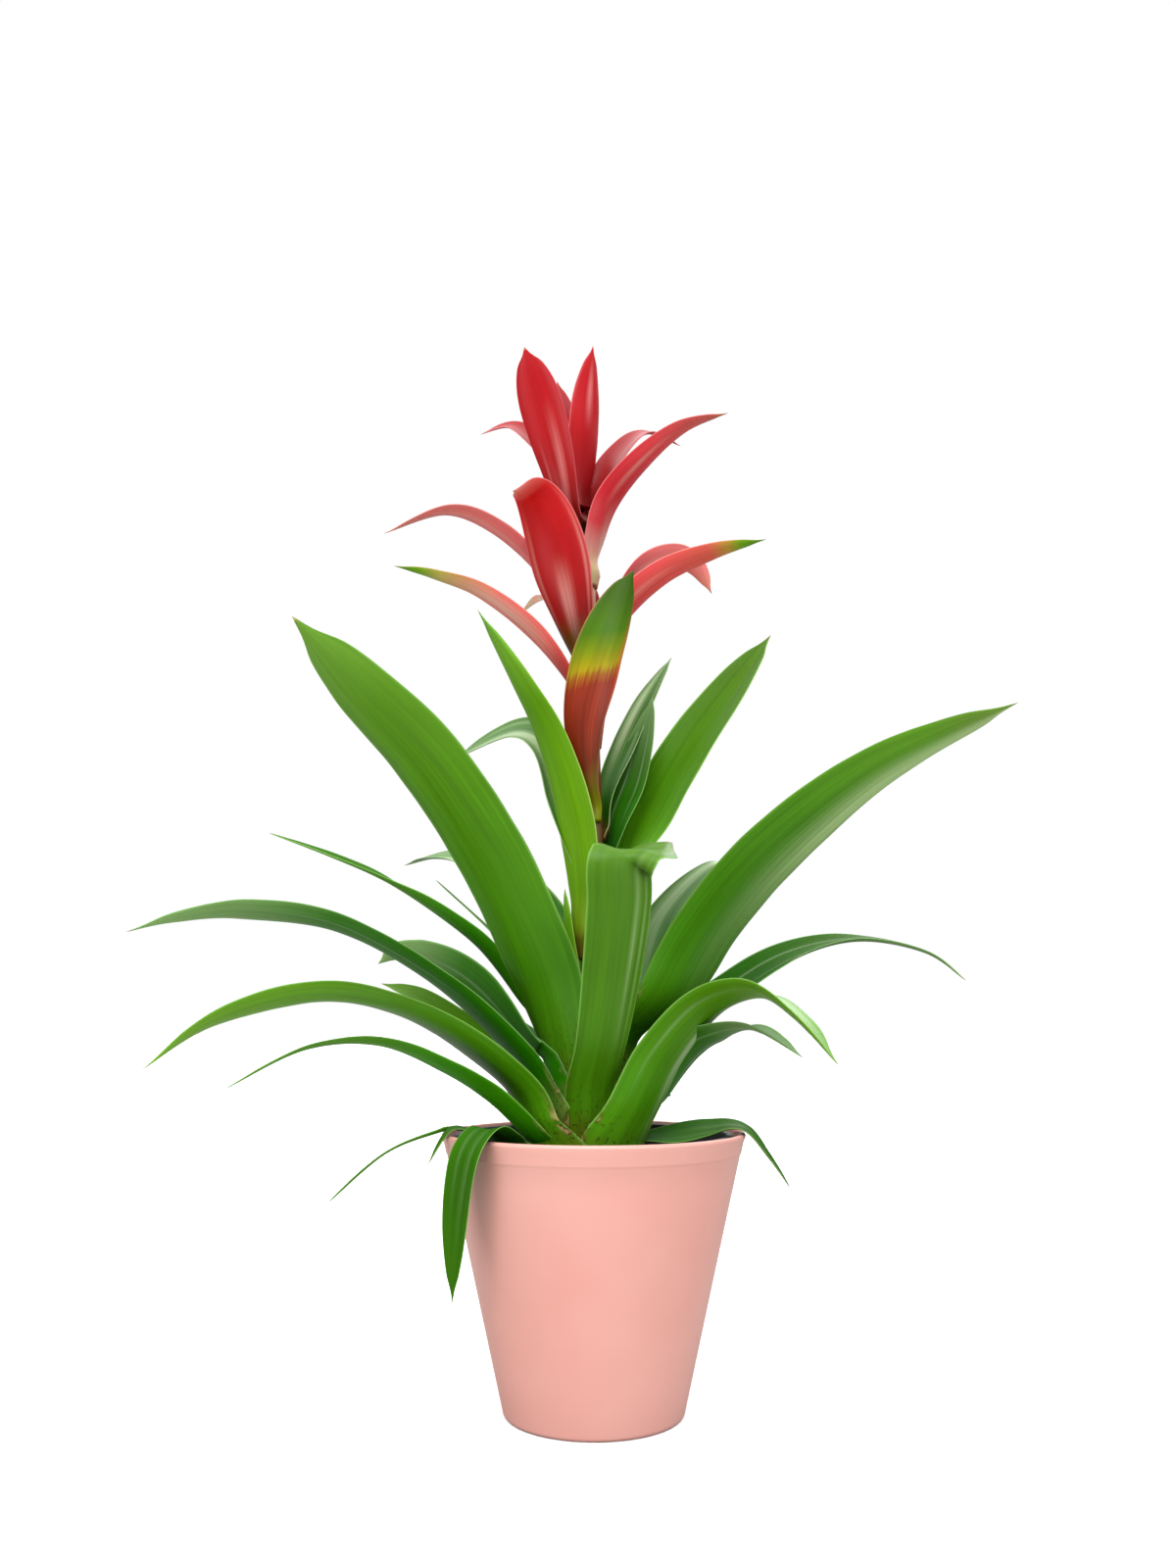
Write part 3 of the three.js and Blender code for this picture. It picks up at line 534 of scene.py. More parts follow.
# %% [markdown]
# ## A node tree that grows a blade
# Every leaf and bract is the same shape by the same rule, so one Geometry Nodes tree makes them all.
# A flat grid is rolled up: its length follows the midrib, and its width goes once round the section,
# over the inner face, round one edge and back along the outer face. A section is an arc, thick in the
# middle and thin at the edges. The edges wave a little, less at the foot, each blade in its own way
# by its seed. At both ends the thickness runs out, and merging by distance closes the ends and the
# seam.
# The tree also writes down where each point lies on the blade, for the finish to read.

# %% Blade tree: sockets and position on the blade
SECTION_POWER = 0.6
END_POWER = 24.0
WAVE_START = 0.12
WAVE_FULL = 0.3
WAVE_GAIN = 4.0
MERGE_DISTANCE = 1e-6

blade_tree, blade_sockets = new_tree("grow_blade", [
    ("Midrib", "NodeSocketGeometry", None),
    ("Rows", "NodeSocketInt", 90),
    ("Around", "NodeSocketInt", 53),
    ("Length", "NodeSocketFloat", 0.2),
    ("Thickness", "NodeSocketFloat", 0.0008),
    ("Wave height", "NodeSocketFloat", 0.0005),
    ("Waves per metre", "NodeSocketFloat", 28.0),
    ("Veins each side", "NodeSocketFloat", 16.0),
    ("Seed", "NodeSocketFloat", 0.0),
    ("Tone", "NodeSocketFloat", 1.0),
    ("Finish", "NodeSocketMaterial", None),
], "Blade")
given = add(blade_tree, "NodeGroupInput").outputs

grid = add(blade_tree, "GeometryNodeMeshGrid", {
    "Size X": 1.0, "Size Y": 1.0, "Vertices X": given["Rows"], "Vertices Y": given["Around"]})
spot = add(blade_tree, "ShaderNodeSeparateXYZ", {0: add(blade_tree, "GeometryNodeInputPosition")})
share = add(blade_tree, "ShaderNodeMath", {0: spot.outputs["X"], 1: 0.5}, operation="ADD")
around = add(blade_tree, "ShaderNodeMath", {0: spot.outputs["Y"], 1: math.tau}, operation="MULTIPLY")
cosine = add(blade_tree, "ShaderNodeMath", {0: around}, operation="COSINE")
across = add(blade_tree, "ShaderNodeMath", {0: cosine, 1: -1.0}, operation="MULTIPLY")
lift = add(blade_tree, "ShaderNodeMath", {0: around}, operation="SINE")
along = add(blade_tree, "ShaderNodeMath", {0: share, 1: given["Length"]}, operation="MULTIPLY")

# %% Blade tree: the section carried along the midrib
curve = add(blade_tree, "GeometryNodeMeshToCurve", {0: given["Midrib"]})
sampled = {}
for label, data_type in [("side", "FLOAT_VECTOR"), ("inward", "FLOAT_VECTOR"),
                         ("half", "FLOAT"), ("wrap", "FLOAT")]:
    stored = add(blade_tree, "GeometryNodeInputNamedAttribute", {0: label}, data_type=data_type)
    sampled[label] = add(blade_tree, "GeometryNodeSampleCurve", {
        "Curves": curve, "Value": stored, "Factor": share}, mode="FACTOR", data_type=data_type)
place = sampled["side"].outputs["Position"]

flatness = add(blade_tree, "ShaderNodeMath", {0: lift}, operation="ABSOLUTE")
flatness = add(blade_tree, "ShaderNodeMath", {0: flatness, 1: SECTION_POWER}, operation="POWER")
lift_sign = add(blade_tree, "ShaderNodeMath", {0: lift}, operation="SIGN")
body = add(blade_tree, "ShaderNodeMath", {0: flatness, 1: lift_sign}, operation="MULTIPLY")
centred = add(blade_tree, "ShaderNodeMath", {0: share, 1: 2.0, 2: -1.0}, operation="MULTIPLY_ADD")
centred = add(blade_tree, "ShaderNodeMath", {0: centred}, operation="ABSOLUTE")
run_out = add(blade_tree, "ShaderNodeMath", {0: centred, 1: END_POWER}, operation="POWER")
fullness = add(blade_tree, "ShaderNodeMath", {0: 1.0, 1: run_out}, operation="SUBTRACT")
half_thickness = add(blade_tree, "ShaderNodeMath", {0: given["Thickness"], 1: 0.5}, operation="MULTIPLY")
body = add(blade_tree, "ShaderNodeMath", {0: body, 1: fullness}, operation="MULTIPLY")
body = add(blade_tree, "ShaderNodeMath", {0: body, 1: half_thickness}, operation="MULTIPLY")

half = sampled["half"].outputs["Value"]
wrap = sampled["wrap"].outputs["Value"]
radius = add(blade_tree, "ShaderNodeMath", {0: half, 1: wrap}, operation="DIVIDE")
face_radius = add(blade_tree, "ShaderNodeMath", {0: radius, 1: body}, operation="SUBTRACT")
turn = add(blade_tree, "ShaderNodeMath", {0: across, 1: wrap}, operation="MULTIPLY")
turn_sine = add(blade_tree, "ShaderNodeMath", {0: turn}, operation="SINE")
turn_cosine = add(blade_tree, "ShaderNodeMath", {0: turn}, operation="COSINE")
to_side = add(blade_tree, "ShaderNodeMath", {0: face_radius, 1: turn_sine}, operation="MULTIPLY")
rise = add(blade_tree, "ShaderNodeMath", {0: face_radius, 1: turn_cosine}, operation="MULTIPLY")
to_inside = add(blade_tree, "ShaderNodeMath", {0: radius, 1: rise}, operation="SUBTRACT")

# %% Blade tree: waved edges, closing and what the finish reads
wave_along = add(blade_tree, "ShaderNodeMath", {0: along, 1: given["Waves per metre"]}, operation="MULTIPLY")
wave_spot = add(blade_tree, "ShaderNodeCombineXYZ", {0: wave_along, 1: across, 2: given["Seed"]})
wave = add(blade_tree, "ShaderNodeTexNoise", {"Vector": wave_spot, "Scale": 1.0, "Detail": 1.0})
wave = add(blade_tree, "ShaderNodeMath", {0: wave, 1: 0.5}, operation="SUBTRACT")
edge = add(blade_tree, "ShaderNodeMath", {0: across, 1: across}, operation="MULTIPLY")
edge = add(blade_tree, "ShaderNodeMath", {0: edge, 1: given["Wave height"]}, operation="MULTIPLY")
free_edge = add(blade_tree, "ShaderNodeMapRange", {
    0: share, 1: WAVE_START, 2: WAVE_FULL, 3: 0.0, 4: WAVE_GAIN})
edge = add(blade_tree, "ShaderNodeMath", {0: edge, 1: free_edge}, operation="MULTIPLY")
edge = add(blade_tree, "ShaderNodeMath", {0: edge, 1: fullness}, operation="MULTIPLY")
to_inside = add(blade_tree, "ShaderNodeMath", {0: wave, 1: edge, 2: to_inside}, operation="MULTIPLY_ADD")

sideways = add(blade_tree, "ShaderNodeVectorMath", {
    0: sampled["side"].outputs["Value"], "Scale": to_side}, operation="SCALE")
inwards = add(blade_tree, "ShaderNodeVectorMath", {
    0: sampled["inward"].outputs["Value"], "Scale": to_inside}, operation="SCALE")
point = add(blade_tree, "ShaderNodeVectorMath", {0: sideways, 1: inwards}, operation="ADD")
point = add(blade_tree, "ShaderNodeVectorMath", {0: place, 1: point}, operation="ADD")
vein = add(blade_tree, "ShaderNodeMath", {0: across, 1: given["Veins each side"]}, operation="MULTIPLY")

shape = grid.outputs["Mesh"]
for label, value in [("share", share), ("across", across), ("lift", lift), ("along", along),
                     ("vein", vein), ("tone", given["Tone"])]:
    shape = add(blade_tree, "GeometryNodeStoreNamedAttribute", {
        "Geometry": shape, "Name": label, "Value": value}, data_type="FLOAT", domain="POINT")
shape = add(blade_tree, "GeometryNodeSetPosition", {"Geometry": shape, "Position": point})
shape = add(blade_tree, "GeometryNodeMergeByDistance", {"Geometry": shape, "Distance": MERGE_DISTANCE})
shape = add(blade_tree, "GeometryNodeSetShadeSmooth", {"Geometry": shape})
shape = add(blade_tree, "GeometryNodeRealizeInstances", {"Geometry": shape})
shape = add(blade_tree, "GeometryNodeSetMaterial", {"Geometry": shape, "Material": given["Finish"]})
add(blade_tree, "NodeGroupOutput", {0: shape})
print("nodes in the blade tree:", len(blade_tree.nodes))


# %% Growing one blade with the tree
VEIN_SPACING = 1.15


def plain_mesh(source, name):
    """The mesh that an object's modifiers make, as a mesh of its own; the object is removed."""
    graph = bpy.context.evaluated_depsgraph_get()
    mesh = bpy.data.meshes.new_from_object(
        source.evaluated_get(graph), preserve_all_data_layers=True, depsgraph=graph)
    mesh.name = name
    bpy.data.objects.remove(source)
    return mesh


def grow_blade(blade, finish, seed, rows, around):
    """A leaf or bract as a plain mesh object, grown along its midrib."""
    stations, length = blade_stations(blade)
    line = bpy.data.meshes.new(blade["name"] + "_midrib")
    line.from_pydata([s[0] * MM for s in stations], [(i, i + 1) for i in range(STATIONS - 1)], [])
    for label, kind, values in [
        ("side", "FLOAT_VECTOR", [c for s in stations for c in s[1]]),
        ("inward", "FLOAT_VECTOR", [c for s in stations for c in s[2]]),
        ("half", "FLOAT", [s[3] * MM for s in stations]),
        ("wrap", "FLOAT", [s[4] for s in stations]),
    ]:
        field = "vector" if kind == "FLOAT_VECTOR" else "value"
        line.attributes.new(label, kind, "POINT").data.foreach_set(field, values)
    grower = mesh_object(blade["name"] + "_midrib", line)
    modifier = grower.modifiers.new("grow", "NODES")
    modifier.node_group = blade_tree
    for label, value in [
        ("Rows", rows), ("Around", around), ("Length", length * MM),
        ("Thickness", blade["thickness"] * MM), ("Wave height", blade["wave"] * MM),
        ("Veins each side", 0.5 * blade["width"] / VEIN_SPACING), ("Seed", float(seed)),
        ("Tone", float(blade["tone"])),
        ("Finish", finish),
    ]:
        modifier[blade_sockets[label]] = value
    mesh = plain_mesh(grower, blade["name"] + "_blade")
    bpy.data.meshes.remove(line)
    return mesh_object(mesh.name, mesh)


# %% [markdown]
# ## Leaf tissue as a finish
# A leaf is a thin, waxy, faintly see-through strap. Its colour runs from the pale sheath to the tip,
# and differs between the faces. Along it run parallel veins about a millimetre apart, as fine light
# and dark streaks that also catch the light as ridges. The margin is a thin paler line, and the very
# tip and the edges of old sheaths dry to brown, with small dark specks on the sheaths. The finish
# reads the numbers that the tree wrote down, so the veins follow every bend. The wax makes it satin,
# with an index of 1.4 and a roughness near 0.4. On some leaves pale bands of painted highlight and
# sheen lie in the colour. Each of the next cells adds one of these to the node tree of the finish.

# %% Finish of a blade: the veins
STREAK_LENGTHS_PER_METRE = 9.0
BROAD_STREAK = 0.28
VEINS_FADE_FROM = 0.6
VEINS_FADE_TO = 0.96
VEINS_AT_TIP = 0.15


def vein_noise(tree, read, is_inner):
    """Fine veins, about a millimetre apart, broad bands of a few millimetres, and their place."""
    run = add(tree, "ShaderNodeMath", {0: read["along"], 1: STREAK_LENGTHS_PER_METRE}, operation="MULTIPLY")
    fine_spot = add(tree, "ShaderNodeCombineXYZ", {0: read["vein"], 1: run, 2: is_inner})
    fine = add(tree, "ShaderNodeTexNoise", {
        "Vector": fine_spot, "Scale": 1.0, "Detail": 2.0, "Roughness": 0.6})
    # The veins run together towards the tip, so they fade there.
    clear = add(tree, "ShaderNodeMapRange", {
        0: read["share"], 1: VEINS_FADE_FROM, 2: VEINS_FADE_TO, 3: 1.0, 4: VEINS_AT_TIP})
    fine = add(tree, "ShaderNodeMix", {0: clear, 2: 0.5, 3: fine}, data_type="FLOAT")
    broad_vein = add(tree, "ShaderNodeMath", {0: read["vein"], 1: BROAD_STREAK}, operation="MULTIPLY")
    broad_spot = add(tree, "ShaderNodeCombineXYZ", {0: broad_vein, 1: run, 2: is_inner})
    broad = add(tree, "ShaderNodeTexNoise", {"Vector": broad_spot, "Scale": 1.0, "Detail": 2.0})
    return fine, broad, broad_vein


# %% Finish of a blade: the colour along it
# Nearly all of a noise lies between these two. It makes fine and broad veins darker and lighter.
NOISE_LOW = 0.3
NOISE_HIGH = 0.7
FINE_DARKER = 0.15
FINE_LIGHTER = 0.13
BROAD_DARKER = 0.14
BROAD_LIGHTER = 0.12


def ramp_of(tree, share, stops):
    """A colour ramp over a share, with its stops, each a share and a screen colour."""
    ramp = add(tree, "ShaderNodeValToRGB", {0: share})
    elements = ramp.color_ramp.elements
    while len(elements) < len(stops):
        elements.new(0.5)
    for element, (position, colour) in zip(elements, stops):
        element.position = position
        element.color = linear(colour)
    return ramp


def blade_colour(tree, read, is_inner, fine, broad, outer, inner, slant, fray, streak):
    """The colour from foot to tip on each face, lighter and darker along the veins."""
    spot = add(tree, "ShaderNodeMath", {
        0: read["across"], 1: slant, 2: read["share"]}, operation="MULTIPLY_ADD")
    ragged = add(tree, "ShaderNodeMapRange", {
        0: fine, 1: NOISE_LOW, 2: NOISE_HIGH, 3: -fray, 4: fray})
    spot = add(tree, "ShaderNodeMath", {0: spot, 1: ragged}, operation="ADD")
    outer_colour = ramp_of(tree, spot, outer)
    inner_colour = ramp_of(tree, spot, inner)
    colour = add(tree, "ShaderNodeMix", {0: is_inner, 6: outer_colour, 7: inner_colour}, data_type="RGBA")
    fine_shade = add(tree, "ShaderNodeMapRange", {
        0: fine, 1: NOISE_LOW, 2: NOISE_HIGH, 3: 1 - FINE_DARKER * streak, 4: 1 + FINE_LIGHTER * streak})
    broad_shade = add(tree, "ShaderNodeMapRange", {
        0: broad, 1: NOISE_LOW, 2: NOISE_HIGH, 3: 1 - BROAD_DARKER * streak, 4: 1 + BROAD_LIGHTER * streak})
    shade = add(tree, "ShaderNodeMath", {0: fine_shade, 1: broad_shade}, operation="MULTIPLY")
    shade = add(tree, "ShaderNodeMath", {0: shade, 1: read["tone"]}, operation="MULTIPLY")
    return add(tree, "ShaderNodeVectorMath", {0: colour, "Scale": shade}, operation="SCALE")


# %% Finish of a blade: painted highlight bands
# Painted highlights: each band blends the colour towards a pale highlight colour, broken up by the vein
# noise.
HIGHLIGHT_BETWEEN_VEINS = 0.35
HIGHLIGHT_FULL_ABOVE = 0.65


def with_painted_highlights(tree, read, fine, colour, highlight_bands, highlight_colour):
    """The colour with bands of painted highlight and sheen, broken up along the veins."""
    highlight_streaks = add(tree, "ShaderNodeMapRange", {
        0: fine, 1: NOISE_LOW, 2: HIGHLIGHT_FULL_ABOVE, 3: HIGHLIGHT_BETWEEN_VEINS, 4: 1.0})
    for centre, reach, start, end, strength in highlight_bands:
        off = add(tree, "ShaderNodeMath", {0: read["across"], 1: centre}, operation="SUBTRACT")
        off = add(tree, "ShaderNodeMath", {0: off}, operation="ABSOLUTE")
        band = add(tree, "ShaderNodeMapRange", {
            0: off, 1: reach, 2: 0.0, 3: 0.0, 4: strength}, interpolation_type="SMOOTHSTEP")
        middle = 0.5 * (start + end)
        off = add(tree, "ShaderNodeMath", {0: read["share"], 1: middle}, operation="SUBTRACT")
        off = add(tree, "ShaderNodeMath", {0: off}, operation="ABSOLUTE")
        stretch = add(tree, "ShaderNodeMapRange", {
            0: off, 1: end - middle, 2: 0.0}, interpolation_type="SMOOTHSTEP")
        band = add(tree, "ShaderNodeMath", {0: band, 1: stretch}, operation="MULTIPLY")
        band = add(tree, "ShaderNodeMath", {0: band, 1: highlight_streaks}, operation="MULTIPLY")
        colour = add(tree, "ShaderNodeMix", {0: band, 6: colour, 7: linear(highlight_colour)}, data_type="RGBA")
    return colour


# %% Finish of a blade: margin, dried tissue and specks
# Places across are shares of the half width, places along are shares of the length, and patches
# and specks show where their noise is above a value.
MARGIN_FROM = 0.93
MARGIN_TO = 0.99
MARGIN_STRENGTH = 0.7
TIP_DRY_FROM = 0.982
OLD_SHEATH_TO = 0.1
OLD_SHEATH_FADES_TO = 0.22
DRY_EDGE_FROM = 0.8
DRY_EDGE_TO = 0.88
DRY_PATCHES_PER_METRE = 110.0
DRY_ABOVE = 0.5
STRAW_ABOVE = 0.54
STRAW_FULL_ABOVE = 0.62
SPECKS_PER_METRE = 450.0
SPECK_ABOVE = 0.61
SPECK_FULL_ABOVE = 0.66
SPECK_STRENGTH = 0.8
SPECK_SEED = 4.0
SPECK_BROWN = "#3a2a0c"
STRAW = "#c8ac70"


def aged(tree, read, broad_vein, colour, margin, dry, dry_base):
    """The colour with its pale margin, dried tissue and the specks of an old sheath."""
    from_middle = add(tree, "ShaderNodeMath", {0: read["across"]}, operation="ABSOLUTE")
    at_margin = add(tree, "ShaderNodeMapRange", {
        0: from_middle, 1: MARGIN_FROM, 2: MARGIN_TO, 4: MARGIN_STRENGTH})
    colour = add(tree, "ShaderNodeMix", {0: at_margin, 6: colour, 7: linear(margin)}, data_type="RGBA")
    # Dried tissue: the last millimetres of the tip, and patches of the sheath's edges, brown or in
    # the thickest places straw.
    at_tip = add(tree, "ShaderNodeMapRange", {0: read["share"], 1: TIP_DRY_FROM, 2: 1.0})
    low = add(tree, "ShaderNodeMapRange", {
        0: read["share"], 1: OLD_SHEATH_FADES_TO, 2: OLD_SHEATH_TO, 4: dry_base})
    outside = add(tree, "ShaderNodeMapRange", {0: from_middle, 1: DRY_EDGE_FROM, 2: DRY_EDGE_TO})
    torn = add(tree, "ShaderNodeMath", {0: read["along"], 1: DRY_PATCHES_PER_METRE}, operation="MULTIPLY")
    torn_spot = add(tree, "ShaderNodeCombineXYZ", {0: broad_vein, 1: torn, 2: read["tone"]})
    torn = add(tree, "ShaderNodeTexNoise", {"Vector": torn_spot, "Scale": 1.0, "Detail": 3.0})
    patch = add(tree, "ShaderNodeMapRange", {0: torn, 1: DRY_ABOVE, 2: STRAW_ABOVE})
    old = add(tree, "ShaderNodeMath", {0: low, 1: outside}, operation="MULTIPLY")
    old = add(tree, "ShaderNodeMath", {0: old, 1: patch}, operation="MULTIPLY")
    straw = add(tree, "ShaderNodeMapRange", {0: torn, 1: STRAW_ABOVE, 2: STRAW_FULL_ABOVE})
    dry_colour = add(tree, "ShaderNodeMix", {0: straw, 6: linear(dry), 7: linear(STRAW)}, data_type="RGBA")
    # Small dark specks low on the sheath.
    speck_run = add(tree, "ShaderNodeMath", {0: read["along"], 1: SPECKS_PER_METRE}, operation="MULTIPLY")
    speck_spot = add(tree, "ShaderNodeCombineXYZ", {0: read["vein"], 1: speck_run, 2: SPECK_SEED})
    speck = add(tree, "ShaderNodeTexNoise", {"Vector": speck_spot, "Scale": 1.0, "Detail": 1.0})
    speck = add(tree, "ShaderNodeMapRange", {
        0: speck, 1: SPECK_ABOVE, 2: SPECK_FULL_ABOVE, 4: SPECK_STRENGTH})
    speck = add(tree, "ShaderNodeMath", {0: speck, 1: low}, operation="MULTIPLY")
    colour = add(tree, "ShaderNodeMix", {0: speck, 6: colour, 7: linear(SPECK_BROWN)}, data_type="RGBA")
    dried = add(tree, "ShaderNodeMath", {0: old, 1: at_tip}, operation="MAXIMUM")
    return add(tree, "ShaderNodeMix", {0: dried, 6: colour, 7: dry_colour}, data_type="RGBA")


# %% Finish of a blade: the whole material
FACE_BLEND = 0.15
SMOOTHER = 0.05
ROUGHER = 0.07
VEIN_RELIEF = 0.03 * MM
LEAF_INDEX = 1.4
GLOW_DEPTH = 1.5 * MM


def blade_finish(
        name, outer, inner, margin, dry="#5c3a1c", dry_base=0.0, streak=1.0, roughness=0.4, wax=0.3,
        glow=0.1, glow_radius=(0.5, 1.0, 0.2), slant=0.0, fray=0.0, highlight_bands=(), highlight_colour="#e6b8b4"):
    """The finish of a blade: colours from foot to tip for both faces, and what varies over them.

    A slant moves the colours along by a share at one edge, and fray pulls them out along the veins.
    Each highlight band is painted highlight or sheen over the colour, in the highlight colour: its
    place across, half width, start, end and strength. The streak is how much the veins differ,
    dry_base how dried the sheath is, the glow how much light passes through, and the wax how much
    light the surface mirrors."""
    material, tree, shader = new_finish(name)
    read = {label: add(tree, "ShaderNodeAttribute", attribute_name=label).outputs["Fac"]
            for label in ("share", "across", "lift", "along", "vein", "tone")}
    is_inner = add(tree, "ShaderNodeMapRange", {0: read["lift"], 1: -FACE_BLEND, 2: FACE_BLEND})
    fine, broad, broad_vein = vein_noise(tree, read, is_inner)
    colour = blade_colour(tree, read, is_inner, fine, broad, outer, inner, slant, fray, streak)
    colour = with_painted_highlights(tree, read, fine, colour, highlight_bands, highlight_colour)
    colour = aged(tree, read, broad_vein, colour, margin, dry, dry_base)
    rough = add(tree, "ShaderNodeMapRange", {
        0: broad, 1: NOISE_LOW, 2: NOISE_HIGH, 3: roughness - SMOOTHER, 4: roughness + ROUGHER})
    ridges = add(tree, "ShaderNodeBump", {"Height": fine, "Strength": 1.0, "Distance": VEIN_RELIEF})
    fill(shader, {
        "Base Color": colour, "Roughness": rough, "Normal": ridges, "IOR": LEAF_INDEX,
        "Specular IOR Level": wax, "Subsurface Weight": glow, "Subsurface Radius": glow_radius,
        "Subsurface Scale": GLOW_DEPTH})
    return material


# %% The greens of the leaves
# Painted shade: the darker olive at 0.05 of the length paints the shade between the leaf bases; the paler
# foot is the sheath's own colour.
MATURE = dict(
    outer=[(0.0, "#7c8c2c"), (0.05, "#5c7414"), (0.12, "#47800a"), (0.25, "#3c7700"), (0.6, "#4a8202"),
           (0.82, "#588c14"), (1, "#6c9c30")],
    inner=[(0.0, "#9aa85a"), (0.12, "#3a7a08"), (0.5, "#2e6c04"), (1, "#4a7e18")],
    margin="#7fae52", dry_base=1.0,
)
# The highlight bands in these finishes are painted highlights and sheen streaks, set into the colour.
LEAF_FINISHES = {
    "mature": blade_finish("mature_leaf", **MATURE),
    # Painted shade and sheen: the darker olive at 0.05 paints the shade between the leaf bases, and the two
    # bands are painted sheen stripes.
    "folded": blade_finish(
        "folded_leaf",
        outer=[(0.0, "#6a7c20"), (0.05, "#586c10"), (0.12, "#3c7000"), (0.5, "#3c6c00"), (0.8, "#447208"),
               (1, "#4e741c")],
        inner=[(0.0, "#9aa85a"), (0.12, "#3a7a08"), (0.7, "#4a7a1c"), (1, "#5a8030")],
        margin="#7fae52", dry_base=1.0, highlight_colour="#a8c484",
        highlight_bands=[(0.5, 0.16, 0.2, 1.0, 0.35), (0.78, 0.1, 0.15, 0.95, 0.3)]),
    # Painted highlight: a pale band along the lower margin where the edge catches the light, a fainter one on
    # the other half, and a paler tip.
    "pale_edged": blade_finish(
        "edge_highlit_leaf", **MATURE, highlight_colour="#c0d4a4",
        highlight_bands=[(0.72, 0.3, 0.05, 0.95, 0.7), (-0.5, 0.14, 0.2, 0.8, 0.2), (0.2, 1.2, 0.6, 1.1, 0.5)]),
    # Painted light: broad pale bands over one half of the blade paint the light that shines through that
    # half.
    "half_pale": blade_finish(
        "half_lit_leaf",
        outer=[(0.0, "#8a9c3c"), (0.1, "#4a8808"), (0.3, "#3a7600"), (0.6, "#3f7800"), (0.85, "#568c18"),
               (1, "#7a9c3c")],
        inner=[(0.0, "#9aa85a"), (0.12, "#3a7a08"), (0.5, "#3a6c14"), (0.72, "#6c9044"), (1, "#86a866")],
        margin="#608c2c", dry_base=1.0, highlight_colour="#b4cc90",
        highlight_bands=[(0.5, 0.75, 0.06, 1.7, 0.75), (1.0, 0.8, 0.1, 1.7, 0.6)]),
    "deep": blade_finish(
        "deep_green_leaf",
        outer=[(0.0, "#8f9f4a"), (0.14, "#2e8400"), (0.45, "#2a6c00"), (0.64, "#3c7420"), (0.8, "#74985a"),
               (1, "#86ac68")],
        inner=[(0.0, "#98a55a"), (0.14, "#1e6404"), (0.5, "#265f04"), (0.7, "#42692a"), (1, "#6c8e5a")],
        margin="#7fa866", roughness=0.46, wax=0.08, dry_base=0.6, highlight_colour="#b4c8a4",
        highlight_bands=[(0.35, 0.1, 0.2, 0.9, 0.3), (-0.4, 0.08, 0.3, 1.0, 0.3)]),
    "low": blade_finish(
        "lower_leaf",
        outer=[(0.0, "#8a9a3a"), (0.15, "#3c8a00"), (0.45, "#317c02"), (0.7, "#4f8a20"), (1, "#5a8e34")],
        inner=[(0.0, "#8a9a4a"), (0.15, "#2c6e00"), (0.6, "#2e6400"), (1, "#306004")],
        margin="#7fae52", roughness=0.5, wax=0.08, dry_base=0.5, highlight_colour="#9cbc7c",
        highlight_bands=[(0.2, 0.3, 0.3, 0.9, 0.14), (-0.45, 0.25, 0.25, 0.8, 0.14)]),
    "fresh": blade_finish(
        "fresh_leaf",
        outer=[(0.0, "#8aa030"), (0.2, "#5a9a00"), (0.4, "#4c8600"), (1, "#4a7810")],
        inner=[(0.0, "#8aa030"), (0.2, "#559400"), (0.4, "#427800"), (0.7, "#406e00"), (1, "#466c10")],
        margin="#8fbc5a", wax=0.15),
    "young": blade_finish(
        "young_leaf",
        outer=[(0.0, "#8a5a24"), (0.1, "#6c8c10"), (0.2, "#609004"), (0.4, "#639600"), (0.7, "#5f9606"),
               (0.85, "#70a626"), (1, "#6ca23a")],
        inner=[(0.0, "#8a5a24"), (0.2, "#609004"), (0.4, "#639600"), (0.7, "#5f9606"), (1, "#6ca23a")],
        margin="#b4cc6a", glow=0.2),
    "striped": blade_finish(
        "striped_leaf",
        outer=[(0.0, "#8a4a30"), (0.14, "#3c7c10"), (0.4, "#40742a"), (1, "#5a8444")],
        inner=[(0.0, "#8a4a30"), (0.12, "#2e6c04"), (0.5, "#3c6c24"), (1, "#5c8048")],
        margin="#a8c088", streak=1.6, wax=0.15, highlight_colour="#b0c49a",
        highlight_bands=[(0.45, 0.6, 0.15, 1.2, 0.85), (-0.6, 0.2, 0.2, 1.1, 0.4)]),
}
print("leaf finishes:", len(LEAF_FINISHES))

# %% [markdown]
# ## Growing the leaves
# Each row of the table becomes one leaf in the place of its solid. About 9,000 triangles for each
# keep the curves smooth close up.

# %% Leaves
LEAF_ROWS = 90
LEAF_AROUND = 53
for seed, row in enumerate(LEAVES):
    blade = {**LEAF_DEFAULTS, **row}
    leaf = grow_blade(blade, LEAF_FINISHES[blade["finish"]], seed, LEAF_ROWS, LEAF_AROUND)
    stand_for(leaf, blade["name"])
print("triangles in a leaf:", sum(len(p.vertices) - 2 for p in leaf.data.polygons))

# %% [markdown]
# ## The reds of the bracts
# Bracts are the same tissue with red sap in place of most of the green. They are waxier, so their
# highlights are broad, and on several bracts broad whitish bands of painted highlight lie in the
# colour. Their feet fade to pale green where they clasp the stem.

